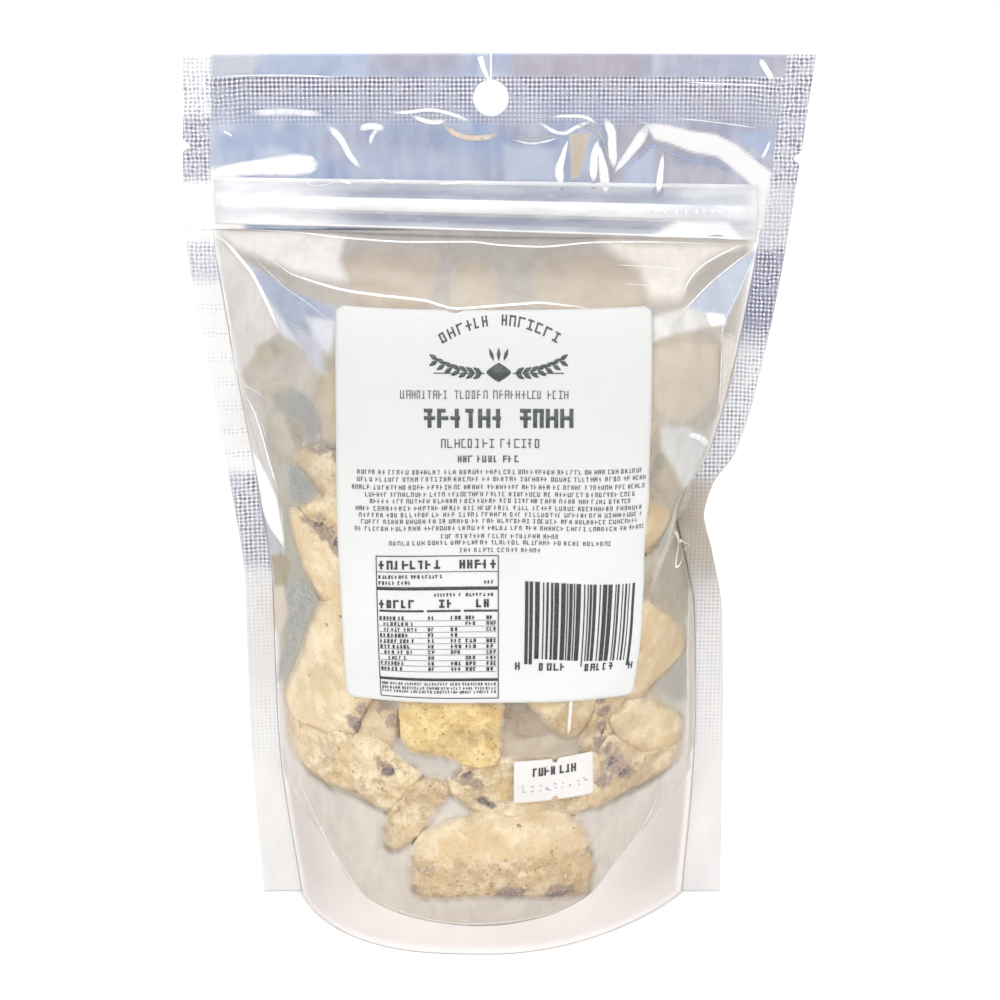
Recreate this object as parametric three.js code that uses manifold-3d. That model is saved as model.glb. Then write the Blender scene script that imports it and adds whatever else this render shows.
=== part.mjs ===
// A stand-up zip pouch filled with biscotti pieces, standing on its bottom gusset.
// Millimetres, +Z up, the front of the pouch faces -Y, origin under the middle of its box.
import * as THREE from 'three'
import { mergeVertices } from 'three/addons/utils/BufferGeometryUtils.js'
import Module from 'manifold-3d'

const wasm = await Module()
wasm.setup()

// ---- driving dimensions ----
const standingHeight = 226 // of the 241 mm (9.5 in) pouch once it is filled and stood up
const sheetHalf = 0.4 // half the thickness of the flat seals and the header
const pieceGap = 0.3 // kept between pieces that touch
const paperGap = 0.55 // kept under paper, which spans the film's small facets

// Outer edges of the side seals, as [height, x]. The right one is nipped in above mid height.
const leftEdge = profile([
  [0, -63.4], [50, -65.5], [90, -65.4], [111, -67.5], [146, -72.5], [172, -75.9], [185, -77], [226, -75.4],
])
const rightEdge = profile([
  [0, 60.8], [50, 60.2], [83, 58.8], [99, 55.7], [110, 53.2],
  [117, 55.2], [125, 60.8], [145, 66.2], [181, 72], [226, 77],
])
const sealWidth = profile([[0, 10.4], [37, 8], [60, 7.4], [226, 7]])

// How far the film stands out from the middle plane along the pouch's centre, by height.
const halfDepth = profile([
  [0, 34], [10, 34.6], [28, 35.8], [50, 36.6], [85, 36.6], [115, 35.2], [140, 31],
  [158, 25.6], [168, 20.4], [174, 12.5], [178.5, 4.6], [181.5, 0.9], [184, sheetHalf], [226, sheetHalf],
])

// The film's level section: 1 - |s|^round, raised to full, where s runs from -1 to 1 between the seals.
const roundLeft = profile([[0, 3], [30, 2.6], [62, 2.2], [95, 3.4], [131, 3.9], [168, 3.3], [184, 2.4]])
const roundRight = profile([
  [0, 1.9], [30, 2], [62, 2.2], [95, 4.2], [111, 6], [131, 3.9], [168, 3.3], [184, 2.4],
])
const fullLeft = profile([[0, 0.74], [25, 0.74], [50, 0.76], [110, 0.8], [150, 0.88], [183, 1]])
const fullRight = profile([
  [0, 0.88], [30, 0.84], [60, 0.78], [95, 0.74], [111, 0.66], [130, 0.8], [150, 0.88], [183, 1],
])

// Upper line of the bottom seal, where the gusset joins the walls, as [x, height].
const gussetLine = profile([
  [-57, 38.5], [-42, 24], [-34, 13.4], [-22, 10], [-5, 8.4], [13, 10], [24, 13.5], [32, 22.5], [51, 38],
])
const skirt = { wall: 1.2, swell: 1.4, swellRise: 8 }
const gusset = {
  halfLength: 52, footHalf: 26, foldTop: 34, endWall: 2.6, footSink: 0.5, below: 2, flatShare: 0.45,
}

// Soft bulges where pieces press on the film: centre x and height, rise, half sizes.
const frontBulges = [
  { x: 2, z: 27, rise: 1.3, wide: 24, tall: 10 },
  { x: -43, z: 72, rise: 2.0, wide: 9, tall: 17 },
  { x: -36, z: 46, rise: 1.5, wide: 13, tall: 9 },
  { x: 33, z: 47, rise: 1.6, wide: 14, tall: 9 },
  { x: 43, z: 82, rise: 1.4, wide: 8, tall: 11 },
  { x: 12, z: 55, rise: 1.2, wide: 16, tall: 8 },
  { x: -14, z: 62, rise: 1.0, wide: 14, tall: 8 },
  { x: -48, z: 118, rise: 1.6, wide: 8, tall: 13 },
  { x: 47, z: 148, rise: 1.3, wide: 9, tall: 13 },
]
const backBulges = { count: 14, rise: 1.9, wide: 13, tall: 12, seed: 11 }

// Sharp folds in the front film: a run of [x, height] points, with the fold's height and half width.
const frontFolds = [
  {
    rise: 1.5, width: 3.2,
    path: [[-56, 176], [-48, 173], [-33, 171], [-16, 170.6], [-4, 171], [15, 171.6], [23, 171]],
  },
  { rise: 1.6, width: 2.8, path: [[-66, 181], [-60, 174], [-55, 165], [-51, 157]] },
  { rise: 1.4, width: 2.8, path: [[62, 178], [50, 173.5], [46, 169], [45, 162]] },
  { rise: 1.3, width: 2.8, path: [[-63, 146], [-60, 134], [-56, 118], [-55, 104]] },
  { rise: 1.6, width: 2.8, path: [[45, 131], [49, 129], [54, 125]] },
  { rise: 1.3, width: 2.8, path: [[46, 111], [48, 103], [50, 97]] },
]

// The header leans back at its free edge, and the nipped right seal folds forward.
const headerBow = { from: 203, rise: 23, back: 2.6 }
const sealNip = { z: 111, tall: 7, forward: 3.2, from: 40, full: 54 }

const zip = {
  base: 182.4, baseTilt: -0.034, top: 195.4, topTilt: -0.014, left: -69.2, right: 64.2,
  web: 0.45, lip: 0.75, track: 1.3, trackRidge: 1.43,
}
const hangHole = { x: -1.3, z: 215.5, radius: 4.35, slit: 0.5 }
const tearNotches = [
  { x: -76.6, z: 204, into: 1 },
  { x: 74.9, z: 201, into: -1 },
]
const notchSize = { deep: 2.4, tall: 3 }
const cutReach = 10 // how far the cutters run on either side of the middle plane

// Paper pieces: width is measured along the film, and dip is how far the corners hang below the middle.
const label = {
  width: 77, top: 168.2, bottom: 73, centre: -0.4, topDip: -0.7, bottomDip: 2, corner: 1.8,
  thick: 0.4, columns: 16, rows: 18,
}
const dateTag = {
  width: 21, top: 57.2, bottom: 45.4, centre: 14.6, topDip: 0, bottomDip: 0, corner: 0.3,
  thick: 0.4, columns: 6, rows: 3,
}
const tagNotch = { wide: 1.6, deep: 0.8 }

const bodyGrid = { columns: 36, bodyRows: 38, headerRows: 4, bodyTop: 184 }
const floorGrid = { columns: 22, layers: 8 }

// ---- helpers ----

// A smooth curve through [at, value] points, with no overshoot.
function profile(points) {
  const last = points.length - 1
  const slope = []
  const rate = (i) => (points[i + 1][1] - points[i][1]) / (points[i + 1][0] - points[i][0])
  points.forEach((point, i) => {
    const before = rate(Math.max(i - 1, 0))
    const after = rate(Math.min(i, last - 1))
    slope.push(before * after <= 0 ? 0 : (2 * before * after) / (before + after))
  })
  return (at) => {
    const clamped = THREE.MathUtils.clamp(at, points[0][0], points[last][0])
    let i = 0
    while (i < last - 1 && clamped > points[i + 1][0]) i += 1
    const span = points[i + 1][0] - points[i][0]
    const t = (clamped - points[i][0]) / span
    const hold = 1 - t
    return points[i][1] * (1 + 2 * t) * hold * hold
      + slope[i] * span * t * hold * hold
      + points[i + 1][1] * t * t * (3 - 2 * t)
      - slope[i + 1] * span * t * t * hold
  }
}

function seededRandom(seed) {
  let state = seed
  return () => {
    state = (state * 16807) % 2147483647
    return state / 2147483647
  }
}

function welded(geometry) {
  geometry.deleteAttribute('normal')
  geometry.deleteAttribute('uv')
  return mergeVertices(geometry, 1e-4)
}

// A box grid with each point sent to a new place, so that it stays one closed body.
function mappedBox(columns, layers, rows, place) {
  const box = new THREE.BoxGeometry(1, 1, 1, columns, layers, rows)
  const spot = box.attributes.position
  for (let i = 0; i < spot.count; i += 1) {
    const [x, y, z] = place(spot.getX(i) + 0.5, spot.getY(i) + 0.5, spot.getZ(i) + 0.5)
    spot.setXYZ(i, x, y, z)
  }
  return welded(box)
}

function solidOf(geometry) {
  const vertProperties = Float32Array.from(geometry.attributes.position.array)
  const triVerts = Uint32Array.from(geometry.index.array)
  return new wasm.Manifold(new wasm.Mesh({ numProp: 3, vertProperties, triVerts }))
}

function geometryOf(solid) {
  const { vertProperties, triVerts } = solid.getMesh()
  const geometry = new THREE.BufferGeometry()
  geometry.setAttribute('position', new THREE.BufferAttribute(vertProperties, 3))
  geometry.setIndex(new THREE.BufferAttribute(triVerts, 1))
  geometry.computeVertexNormals()
  return geometry
}

function blockSolid(low, high) {
  const size = high.map((value, i) => value - low[i])
  const block = new THREE.BoxGeometry(...size)
  block.translate(...low.map((value, i) => value + size[i] / 2))
  return solidOf(welded(block))
}

// ---- the film's surface ----

const smoothstep = THREE.MathUtils.smoothstep

// The middle plane of the flat sheets, which isn't quite flat.
function middlePlane(x, z) {
  const up = Math.max((z - headerBow.from) / headerBow.rise, 0)
  const across = x / rightEdge(standingHeight)
  const bow = headerBow.back * up * up * (1 - across * across)
  const nipHeight = Math.exp(-(((z - sealNip.z) / sealNip.tall) ** 2))
  return bow - sealNip.forward * nipHeight * smoothstep(x, sealNip.from, sealNip.full)
}

// Where a point lies between the inner edges of the side seals, from -1 to 1.
function acrossLens(x, z) {
  const left = leftEdge(z) + sealWidth(z)
  const right = rightEdge(z) - sealWidth(z)
  return (2 * x - left - right) / (right - left)
}

function bulgeRise(bulge, x, z) {
  return bulge.rise * Math.exp(-(((x - bulge.x) / bulge.wide) ** 2) - (((z - bulge.z) / bulge.tall) ** 2))
}

function distanceToPath(path, x, z) {
  let nearest = Infinity
  for (let i = 0; i < path.length - 1; i += 1) {
    const [ax, az] = path[i]
    const [bx, bz] = path[i + 1]
    const length2 = (bx - ax) ** 2 + (bz - az) ** 2
    const t = THREE.MathUtils.clamp(((x - ax) * (bx - ax) + (z - az) * (bz - az)) / length2, 0, 1)
    nearest = Math.min(nearest, Math.hypot(x - ax - t * (bx - ax), z - az - t * (bz - az)))
  }
  return nearest
}

const random = seededRandom(backBulges.seed)
const pressedBack = Array.from({ length: backBulges.count }, () => ({
  x: (random() - 0.5) * 88,
  z: 24 + random() * 128,
  rise: backBulges.rise * (0.5 + random() / 2),
  wide: backBulges.wide * (0.7 + random() * 0.6),
  tall: backBulges.tall * (0.7 + random() * 0.6),
}))

// How far the film stands out from the middle plane. Side is -1 in front and 1 behind.
function filmDepth(x, z, side) {
  const s = acrossLens(x, z)
  if (Math.abs(s) >= 1) return sheetHalf
  const round = s < 0 ? roundLeft(z) : roundRight(z)
  const full = s < 0 ? fullLeft(z) : fullRight(z)
  const lens = (1 - Math.abs(s) ** round) ** full
  const shoulder = z - zip.baseTilt * x * smoothstep(z, 150, bodyGrid.bodyTop)
  const aboveSeal = smoothstep(z - gussetLine(x), 0, skirt.swellRise)
  const swell = skirt.swell * aboveSeal * (1 - smoothstep(shoulder, 165, 180))
  let depth = sheetHalf + (halfDepth(shoulder) - sheetHalf + swell) * lens
  const free = lens * aboveSeal * (1 - smoothstep(shoulder, 168, 180))
  for (const bulge of side < 0 ? frontBulges : pressedBack) depth += free * bulgeRise(bulge, x, z)
  if (side > 0) return depth
  for (const fold of frontFolds) {
    const away = distanceToPath(fold.path, x, z) / fold.width
    if (away < 1) depth += fold.rise * (1 - away) * Math.min(lens * 3, 1)
  }
  return depth
}

function filmPoint(x, z, side, out = 0) {
  return [x, middlePlane(x, z) + side * (filmDepth(x, z, side) + out), z]
}

// Points spaced closer together near the side seals, where the film turns sharply.
function columnX(share, z) {
  const left = leftEdge(z)
  const right = rightEdge(z)
  const step = 1 / bodyGrid.columns
  if (share < step / 2) return left
  if (share > 1 - step / 2) return right
  const inner = (share - step) / (1 - 2 * step)
  const spread = 0.5 * inner + 0.25 * (1 - Math.cos(Math.PI * inner))
  return left + sealWidth(z) + spread * (right - left - 2 * sealWidth(z))
}

function rowHeight(share) {
  const { bodyRows, headerRows, bodyTop } = bodyGrid
  const row = Math.round(share * (bodyRows + headerRows))
  if (row <= bodyRows) return (row / bodyRows) * bodyTop
  return bodyTop + ((row - bodyRows) / headerRows) * (standingHeight - bodyTop)
}

// ---- pouch ----

function filledSkin() {
  return mappedBox(bodyGrid.columns, 1, bodyGrid.bodyRows + bodyGrid.headerRows, (u, v, w) => {
    const z = rowHeight(w)
    return filmPoint(columnX(u, z), z, v < 0.5 ? -1 : 1)
  })
}

// Height of the gusset film: flat on the ground in the middle, and up to its fold at both ends.
function gussetHeight(x, outward) {
  const end = smoothstep(Math.abs(x), gusset.footHalf, gusset.halfLength)
  const fold = gusset.foldTop * end ** 1.4
  const wall = Math.max((outward - gusset.flatShare) / (1 - gusset.flatShare), 0)
  const rim = Math.max(gussetLine(x) - 1, fold)
  return fold + (rim - fold) * wall ** 2.2
}

// The hollow between the gusset and the ground, inside the skirt.
function underGusset() {
  const reachX = (share, z) => {
    const left = leftEdge(z) + sealWidth(z) + gusset.endWall
    const right = rightEdge(z) - sealWidth(z) - gusset.endWall
    return THREE.MathUtils.lerp(left, right, share)
  }
  return mappedBox(floorGrid.columns, floorGrid.layers, 2, (u, v, w) => {
    const outward = 2 * v - 1
    const top = gussetHeight(reachX(u, 0), Math.abs(outward)) - gusset.footSink
    const z = -gusset.below + w * (top + gusset.below)
    const x = reachX(u, z)
    const wall = filmDepth(x, Math.max(z, 0), Math.sign(outward)) - skirt.wall
    return [x, outward * Math.max(wall, pieceGap), z]
  })
}

function zipEdges(x) {
  return [zip.base + zip.baseTilt * x, zip.top + zip.topTilt * x]
}

function zipWindow() {
  return solidOf(mappedBox(12, 1, 1, (u, v, w) => {
    const x = THREE.MathUtils.lerp(zip.left - pieceGap, zip.right + pieceGap, u)
    const [low, high] = zipEdges(x)
    return [x, (2 * v - 1) * cutReach, THREE.MathUtils.lerp(low - pieceGap, high + pieceGap, w)]
  }))
}

function punchedHole() {
  const punch = new THREE.CylinderGeometry(hangHole.radius, hangHole.radius, 2 * cutReach, 32)
  punch.translate(hangHole.x, 0, hangHole.z)
  return solidOf(welded(punch))
}

function tearNotch({ x, z, into }) {
  const cut = new THREE.Shape()
  cut.moveTo(-into * 2, notchSize.tall / 2)
  cut.lineTo(into * notchSize.deep, 0)
  cut.lineTo(-into * 2, -notchSize.tall / 2)
  cut.closePath()
  const wedge = new THREE.ExtrudeGeometry(cut, { depth: 2 * cutReach, bevelEnabled: false })
  wedge.rotateX(Math.PI / 2)
  wedge.translate(x, cutReach, z)
  return solidOf(welded(wedge))
}

function pouchGeometry() {
  const { x, z, slit } = hangHole
  let pouch = solidOf(filledSkin())
  pouch = pouch.subtract(solidOf(underGusset()))
  pouch = pouch.subtract(zipWindow())
  pouch = pouch.subtract(punchedHole())
  const slitLow = [x - slit / 2, -cutReach, z]
  const slitHigh = [x + slit / 2, cutReach, standingHeight + 1]
  pouch = pouch.subtract(blockSolid(slitLow, slitHigh))
  for (const notch of tearNotches) pouch = pouch.subtract(tearNotch(notch))
  return geometryOf(pouch)
}

// ---- zip ----

// The press-to-close strip: a thin web with a raised lip along its top and the track across it.
function zipGeometry() {
  const rows = [
    [0, zip.web], [0.28, zip.web], [0.34, zip.track], [0.5, zip.trackRidge],
    [0.66, zip.track], [0.72, zip.web], [0.93, zip.web], [0.95, zip.lip], [1, zip.lip],
  ]
  return mappedBox(12, 1, rows.length - 1, (u, v, w) => {
    const [share, half] = rows[Math.round(w * (rows.length - 1))]
    const x = THREE.MathUtils.lerp(zip.left, zip.right, u)
    const [low, high] = zipEdges(x)
    const z = THREE.MathUtils.lerp(low, high, share)
    return [x, middlePlane(x, z) + (v < 0.5 ? -half : half), z]
  })
}

// ---- paper pieces ----

// The x that lies a given length along the front film from the centre line, at one height.
function alongFilm(centre, length, z) {
  if (length === 0) return centre
  const steps = 24
  const stride = Math.abs(length) / steps
  const way = Math.sign(length)
  let x = centre
  for (let i = 0; i < steps; i += 1) {
    const ahead = filmPoint(x + way * stride, z, -1)[1] - filmPoint(x, z, -1)[1]
    x += way * stride * (stride / Math.hypot(stride, ahead))
  }
  return x
}

// A thin sheet laid on the front film, with its corners cut round.
function paperSheet(paper) {
  const inset = (share) => {
    const half = paper.corner * (1 - Math.SQRT1_2)
    return share === 0 ? half : share === 1 ? -half : 0
  }
  return mappedBox(paper.columns, 1, paper.rows, (u, v, w) => {
    const cornerU = w === 0 || w === 1 ? inset(u) : 0
    const cornerW = u === 0 || u === 1 ? inset(w) : 0
    const length = (u - 0.5) * paper.width + cornerU
    const dip = THREE.MathUtils.lerp(paper.bottomDip, paper.topDip, w) * (2 * u - 1) ** 2
    const z = THREE.MathUtils.lerp(paper.bottom, paper.top, w) + cornerW - dip
    const x = alongFilm(paper.centre, length, z)
    return filmPoint(x, z, -1, paperGap + (v < 0.5 ? paper.thick : 0))
  })
}

// The tag has a small nick in the middle of its upper and lower edges.
function dateTagGeometry() {
  let tag = solidOf(paperSheet(dateTag))
  for (const z of [dateTag.top, dateTag.bottom]) {
    const low = [dateTag.centre - tagNotch.wide / 2, -60, z - tagNotch.deep]
    tag = tag.subtract(blockSolid(low, [low[0] + tagNotch.wide, 0, z + tagNotch.deep]))
  }
  return geometryOf(tag)
}

// ---- the whole ----

function namedMesh(name, geometry, color, roughness, metalness) {
  const material = new THREE.MeshStandardMaterial({ color, roughness, metalness })
  const mesh = new THREE.Mesh(geometry, material)
  mesh.name = name
  return mesh
}

const biscottiPouch = new THREE.Group()
biscottiPouch.add(
  namedMesh('pouch', pouchGeometry(), 0xc9bfa6, 0.25, 0.2),
  namedMesh('zip_strip', zipGeometry(), 0xd5dbe0, 0.3, 0),
  namedMesh('label', paperSheet(label), 0xf3f1ec, 0.7, 0),
  namedMesh('date_tag', dateTagGeometry(), 0xf5f4f0, 0.7, 0),
)

export default biscottiPouch
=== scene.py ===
# A stand-up pouch of biscotti pieces: clear front film, silver back, press-to-close zip, paper label.
# Sizes are in millimetres until a piece is finished, which puts it in metres.
import math
import random

import bmesh
import bpy
from mathutils import Euler, Matrix, Vector, noise
from mathutils.bvhtree import BVHTree


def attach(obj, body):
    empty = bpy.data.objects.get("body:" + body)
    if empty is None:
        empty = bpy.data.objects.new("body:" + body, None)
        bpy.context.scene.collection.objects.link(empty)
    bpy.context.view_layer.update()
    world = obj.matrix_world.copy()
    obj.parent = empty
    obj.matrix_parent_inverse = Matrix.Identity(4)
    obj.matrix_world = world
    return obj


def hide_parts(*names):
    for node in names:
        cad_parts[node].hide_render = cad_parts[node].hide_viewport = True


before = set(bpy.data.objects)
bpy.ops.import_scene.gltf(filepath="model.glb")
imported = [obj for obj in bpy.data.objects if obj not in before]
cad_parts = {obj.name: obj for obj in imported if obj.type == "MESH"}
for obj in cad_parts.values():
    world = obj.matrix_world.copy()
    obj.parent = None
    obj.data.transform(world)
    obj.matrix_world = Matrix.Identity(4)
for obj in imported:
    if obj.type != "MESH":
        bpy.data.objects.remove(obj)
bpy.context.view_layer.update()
scene = bpy.context.scene
scene.view_settings.view_transform = "Standard"
mm = 0.001
noiseSeed = 1795524510  # a fixed start, or the vector noise would be new at every run
noise.seed_set(noiseSeed)
print("frame loaded")


def clamp(value, low, high):
    return max(low, min(high, value))


def mix(a, b, share):
    return a + (b - a) * share


def smoothstep(value, low, high):
    t = clamp((value - low) / (high - low), 0, 1)
    return t * t * (3 - 2 * t)


# smooth noise over x and z, at a rate of change for each; the seed tells the uses apart
def waveAt(x, z, rateX, rateZ, seed):
    return noise.noise(Vector((x * rateX, z * rateZ, seed)))


# a smooth curve through (at, value) points, with no overshoot
def profile(points):
    last = len(points) - 1
    rates = [(points[i + 1][1] - points[i][1]) / (points[i + 1][0] - points[i][0]) for i in range(last)]
    slopes = []
    for i in range(last + 1):
        before, after = rates[max(i - 1, 0)], rates[min(i, last - 1)]
        slopes.append(0 if before * after <= 0 else 2 * before * after / (before + after))

    def at(where):
        where = clamp(where, points[0][0], points[last][0])
        i = 0
        while i < last - 1 and where > points[i + 1][0]:
            i += 1
        span = points[i + 1][0] - points[i][0]
        t = (where - points[i][0]) / span
        hold = 1 - t
        return (points[i][1] * (1 + 2 * t) * hold * hold + slopes[i] * span * t * hold * hold
                + points[i + 1][1] * t * t * (3 - 2 * t) - slopes[i + 1] * span * t * t * hold)

    return at


def tone(red, green, blue):
    def linear(value):
        value /= 255
        return value / 12.92 if value <= 0.04045 else ((value + 0.055) / 1.055) ** 2.4
    return (linear(red), linear(green), linear(blue), 1)


# a path or an outline in x and z; its box lets far points pass it over quickly
def drawn(points, **look):
    xs, zs = zip(*points)
    return {"points": points, "low": (min(xs), min(zs)), "high": (max(xs), max(zs)), **look}


def near(shape, x, z, reach):
    return (shape["low"][0] - reach < x < shape["high"][0] + reach
            and shape["low"][1] - reach < z < shape["high"][1] + reach)


def distanceToPath(path, x, z):
    nearest = 1e9
    for (ax, az), (bx, bz) in zip(path, path[1:]):
        length2 = (bx - ax) ** 2 + (bz - az) ** 2
        t = clamp(((x - ax) * (bx - ax) + (z - az) * (bz - az)) / length2, 0, 1)
        nearest = min(nearest, math.hypot(x - ax - t * (bx - ax), z - az - t * (bz - az)))
    return nearest


# a painted crease: half widths of its bright line, a painted highlight, from end to end, how white it is, and
# its path;
# warm and cool tint the line as painted reflection and dark makes it painted shade; rise and width also fold
# the sheet along it
def paintedCrease(half, white, *path, rise=0, width=0, blunt=1.6, warm=0, cool=0, dark=0):
    halves = half if isinstance(half, list) else [half] * 2
    return drawn(path, halves=halves, white=white, rise=rise, width=width, blunt=blunt,
                 warm=warm, cool=cool, dark=dark)


# how far the folds lift the sheet at a point: each falls from its line to nothing at its half width
def foldsAt(creases, x, z):
    lift = 0
    for fold in creases:
        if fold["rise"] and near(fold, x, z, fold["width"]):
            lift += fold["rise"] * max(0, 1 - distanceToPath(fold["points"], x, z) / fold["width"])
    return lift


# 1 inside a drawn patch, falling to 0 over the soft distance about its edge
def patchShare(patch, x, z):
    if not near(patch, x, z, patch["soft"]):
        return 0
    corners = patch["points"]
    inside = False
    for (ax, az), (bx, bz) in zip(corners, corners[1:] + corners[:1]):
        if (az > z) != (bz > z) and x < (bx - ax) * (z - az) / (bz - az) + ax:
            inside = not inside
    away = distanceToPath(corners + corners[:1], x, z)
    return smoothstep(away if inside else -away, -patch["soft"], patch["soft"])


# the pouch's form, as the solids have it
pouch = {"height": 226, "sheetHalf": 0.4, "headerFrom": 183}
leftEdge = profile([
    (0, -63.4), (50, -65.5), (90, -65.4), (111, -67.5), (146, -72.5), (172, -75.9), (185, -77), (226, -75.4)])
rightEdge = profile([
    (0, 60.8), (50, 60.2), (83, 58.8), (99, 55.7), (110, 53.2),
    (117, 55.2), (125, 60.8), (145, 66.2), (181, 72), (226, 77)])
sealWidth = profile([(0, 10.4), (37, 8), (60, 7.4), (226, 7)])
halfDepth = profile([
    (0, 34), (10, 34.6), (28, 35.8), (50, 36.6), (85, 36.6), (115, 35.2), (140, 31),
    (158, 25.6), (168, 20.4), (174, 12.5), (178.5, 4.6), (181.5, 0.9), (184, 0.4), (226, 0.4)])
roundLeft = profile([(0, 3), (30, 2.6), (62, 2.2), (95, 3.4), (131, 3.9), (168, 3.3), (184, 2.4)])
roundRight = profile([(0, 1.9), (30, 2), (62, 2.2), (95, 4.2), (111, 6), (131, 3.9), (168, 3.3), (184, 2.4)])
fullLeft = profile([(0, 0.74), (25, 0.74), (50, 0.76), (110, 0.8), (150, 0.88), (183, 1)])
fullRight = profile([
    (0, 0.88), (30, 0.84), (60, 0.78), (95, 0.74), (111, 0.66), (130, 0.8), (150, 0.88), (183, 1)])
gussetLine = profile([
    (-57, 38.5), (-42, 24), (-34, 13.4), (-22, 10), (-5, 8.4), (13, 10), (24, 13.5), (32, 22.5), (51, 38)])
skirt = {"swell": 1.4, "swellRise": 8}
gusset = {"halfLength": 52, "footHalf": 26, "foldTop": 34, "flatShare": 0.45}
headerBow = {"from": 203, "rise": 23, "back": 2.6}
sealNip = {"z": 111, "tall": 7, "forward": 3.2, "from": 40, "full": 54}
zipStrip = {"base": 182.4, "baseTilt": -0.034, "top": 195.4, "topTilt": -0.014, "left": -69.2, "right": 64.2}
hangHole = {"x": -1.3, "z": 215.5, "radius": 4.35, "slit": 0.5}
tearNotch = {"leftZ": 204, "rightZ": 201, "deep": 2, "half": 1.5}

frontBulges = [  # where pieces press on the front: x, z, rise, half sizes
    (2, 27, 1.3, 24, 10), (-43, 72, 2.0, 9, 17), (-36, 46, 1.5, 13, 9), (33, 47, 1.6, 14, 9),
    (43, 82, 1.4, 8, 11), (12, 55, 1.2, 16, 8), (-14, 62, 1.0, 14, 8), (-48, 118, 1.6, 8, 13),
    (47, 148, 1.3, 9, 13)]
backPress = {"count": 14, "rise": 1.9, "wide": 13, "tall": 12, "seed": 11}


# the shares, from 0 to 1, that the solids draw for the same seed
def seededShares(seed):
    while True:
        seed = (seed * 16807) % 2147483647
        yield seed / 2147483647


draw = seededShares(backPress["seed"])
backBulges = []
for _ in range(backPress["count"]):
    x, z = (next(draw) - 0.5) * 88, 24 + next(draw) * 128
    rise = backPress["rise"] * (0.5 + next(draw) / 2)
    wide, tall = backPress["wide"] * (0.7 + next(draw) * 0.6), backPress["tall"] * (0.7 + next(draw) * 0.6)
    backBulges.append((x, z, rise, wide, tall))


def middlePlane(x, z):
    up = max((z - headerBow["from"]) / headerBow["rise"], 0)
    bow = headerBow["back"] * up * up * (1 - (x / rightEdge(pouch["height"])) ** 2)
    nip = math.exp(-((z - sealNip["z"]) / sealNip["tall"]) ** 2)
    return bow - sealNip["forward"] * nip * smoothstep(x, sealNip["from"], sealNip["full"])


def innerEdges(z):
    return leftEdge(z) + sealWidth(z), rightEdge(z) - sealWidth(z)


# how far the film lies from the nearer seal
def fromSeal(x, z):
    left, right = innerEdges(z)
    return min(x - left, right - x)


def filmDepth(x, z, side):
    left, right = innerEdges(z)
    s = (2 * x - left - right) / (right - left)
    if abs(s) >= 1:
        return pouch["sheetHalf"]
    power, full = (roundLeft(z), fullLeft(z)) if s < 0 else (roundRight(z), fullRight(z))
    lens = (1 - abs(s) ** power) ** full
    shoulder = z - zipStrip["baseTilt"] * x * smoothstep(z, 150, 184)
    aboveSeal = smoothstep(z - gussetLine(x), 0, skirt["swellRise"])
    swell = skirt["swell"] * aboveSeal * (1 - smoothstep(shoulder, 165, 180))
    depth = pouch["sheetHalf"] + (halfDepth(shoulder) - pouch["sheetHalf"] + swell) * lens
    free = lens * aboveSeal * (1 - smoothstep(shoulder, 168, 180))
    for bx, bz, rise, wide, tall in frontBulges if side < 0 else backBulges:
        depth += free * rise * math.exp(-((x - bx) / wide) ** 2 - ((z - bz) / tall) ** 2)
    return depth


# the film's distance out, read from a table with 1 mm steps, because it is asked for many times
tableLow = (-80, 0)
filmTable = {
    side: [[filmDepth(tableLow[0] + i, tableLow[1] + j, side) for i in range(161)] for j in range(228)]
    for side in (-1, 1)}


def filmY(x, z, side, out=0):
    u, w = clamp(x - tableLow[0], 0, 159.999), clamp(z - tableLow[1], 0, 226.999)
    i, j = int(u), int(w)
    u, w = u - i, w - j
    low, high = filmTable[side][j], filmTable[side][j + 1]
    depth = mix(mix(low[i], low[i + 1], u), mix(high[i], high[i + 1], u), w)
    return middlePlane(x, z) + side * (depth + out)


def gussetHeight(x, outward):
    end = smoothstep(abs(x), gusset["footHalf"], gusset["halfLength"])
    fold = gusset["foldTop"] * end ** 1.4
    wall = max((outward - gusset["flatShare"]) / (1 - gusset["flatShare"]), 0)
    rim = max(gussetLine(x) - 1, fold)
    return fold + (rim - fold) * wall ** 2.2


print("film form ready")


# a grid whose points are placed by their shares (0 to 1) across and up, facing the front
def placedGrid(columns, rows, place):
    bm = bmesh.new()
    bmesh.ops.create_grid(bm, x_segments=columns, y_segments=rows, size=0.5)
    for vert in bm.verts:
        vert.co = place(vert.co.x + 0.5, vert.co.y + 0.5)
    return bm


# a cube cut evenly along its three axes
def cutCube(size, cuts):
    bm = bmesh.new()
    bmesh.ops.create_cube(bm, size=size)
    for axis, count in enumerate(cuts):
        along = [e for e in bm.edges if abs((e.verts[0].co - e.verts[1].co)[axis]) > size / 2]
        if count > 1:
            bmesh.ops.subdivide_edges(bm, edges=along, cuts=count - 1)
    return bm


def floatLayers(bm, names):
    return {name: bm.verts.layers.float.new(name) for name in names}


def meshFrom(bm, name):
    mesh = bpy.data.meshes.new(name)
    bm.to_mesh(mesh)
    bm.free()
    return mesh


def finishPiece(name, bm, materials, replaced=(), thickness=0, offset=-1, innerMaterial=0):
    mesh = meshFrom(bm, name)
    mesh.transform(Matrix.Scale(mm, 4))
    mesh.polygons.foreach_set("use_smooth", [True] * len(mesh.polygons))
    for material in materials:
        mesh.materials.append(material)
    piece = bpy.data.objects.new(name, mesh)
    scene.collection.objects.link(piece)
    if thickness:
        wall = piece.modifiers.new("wall", "SOLIDIFY")
        wall.thickness = thickness * mm
        wall.offset = offset
        wall.use_even_offset = False
        wall.material_offset = innerMaterial
    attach(piece, "root")
    if replaced:
        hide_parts(*replaced)
    return piece


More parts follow.
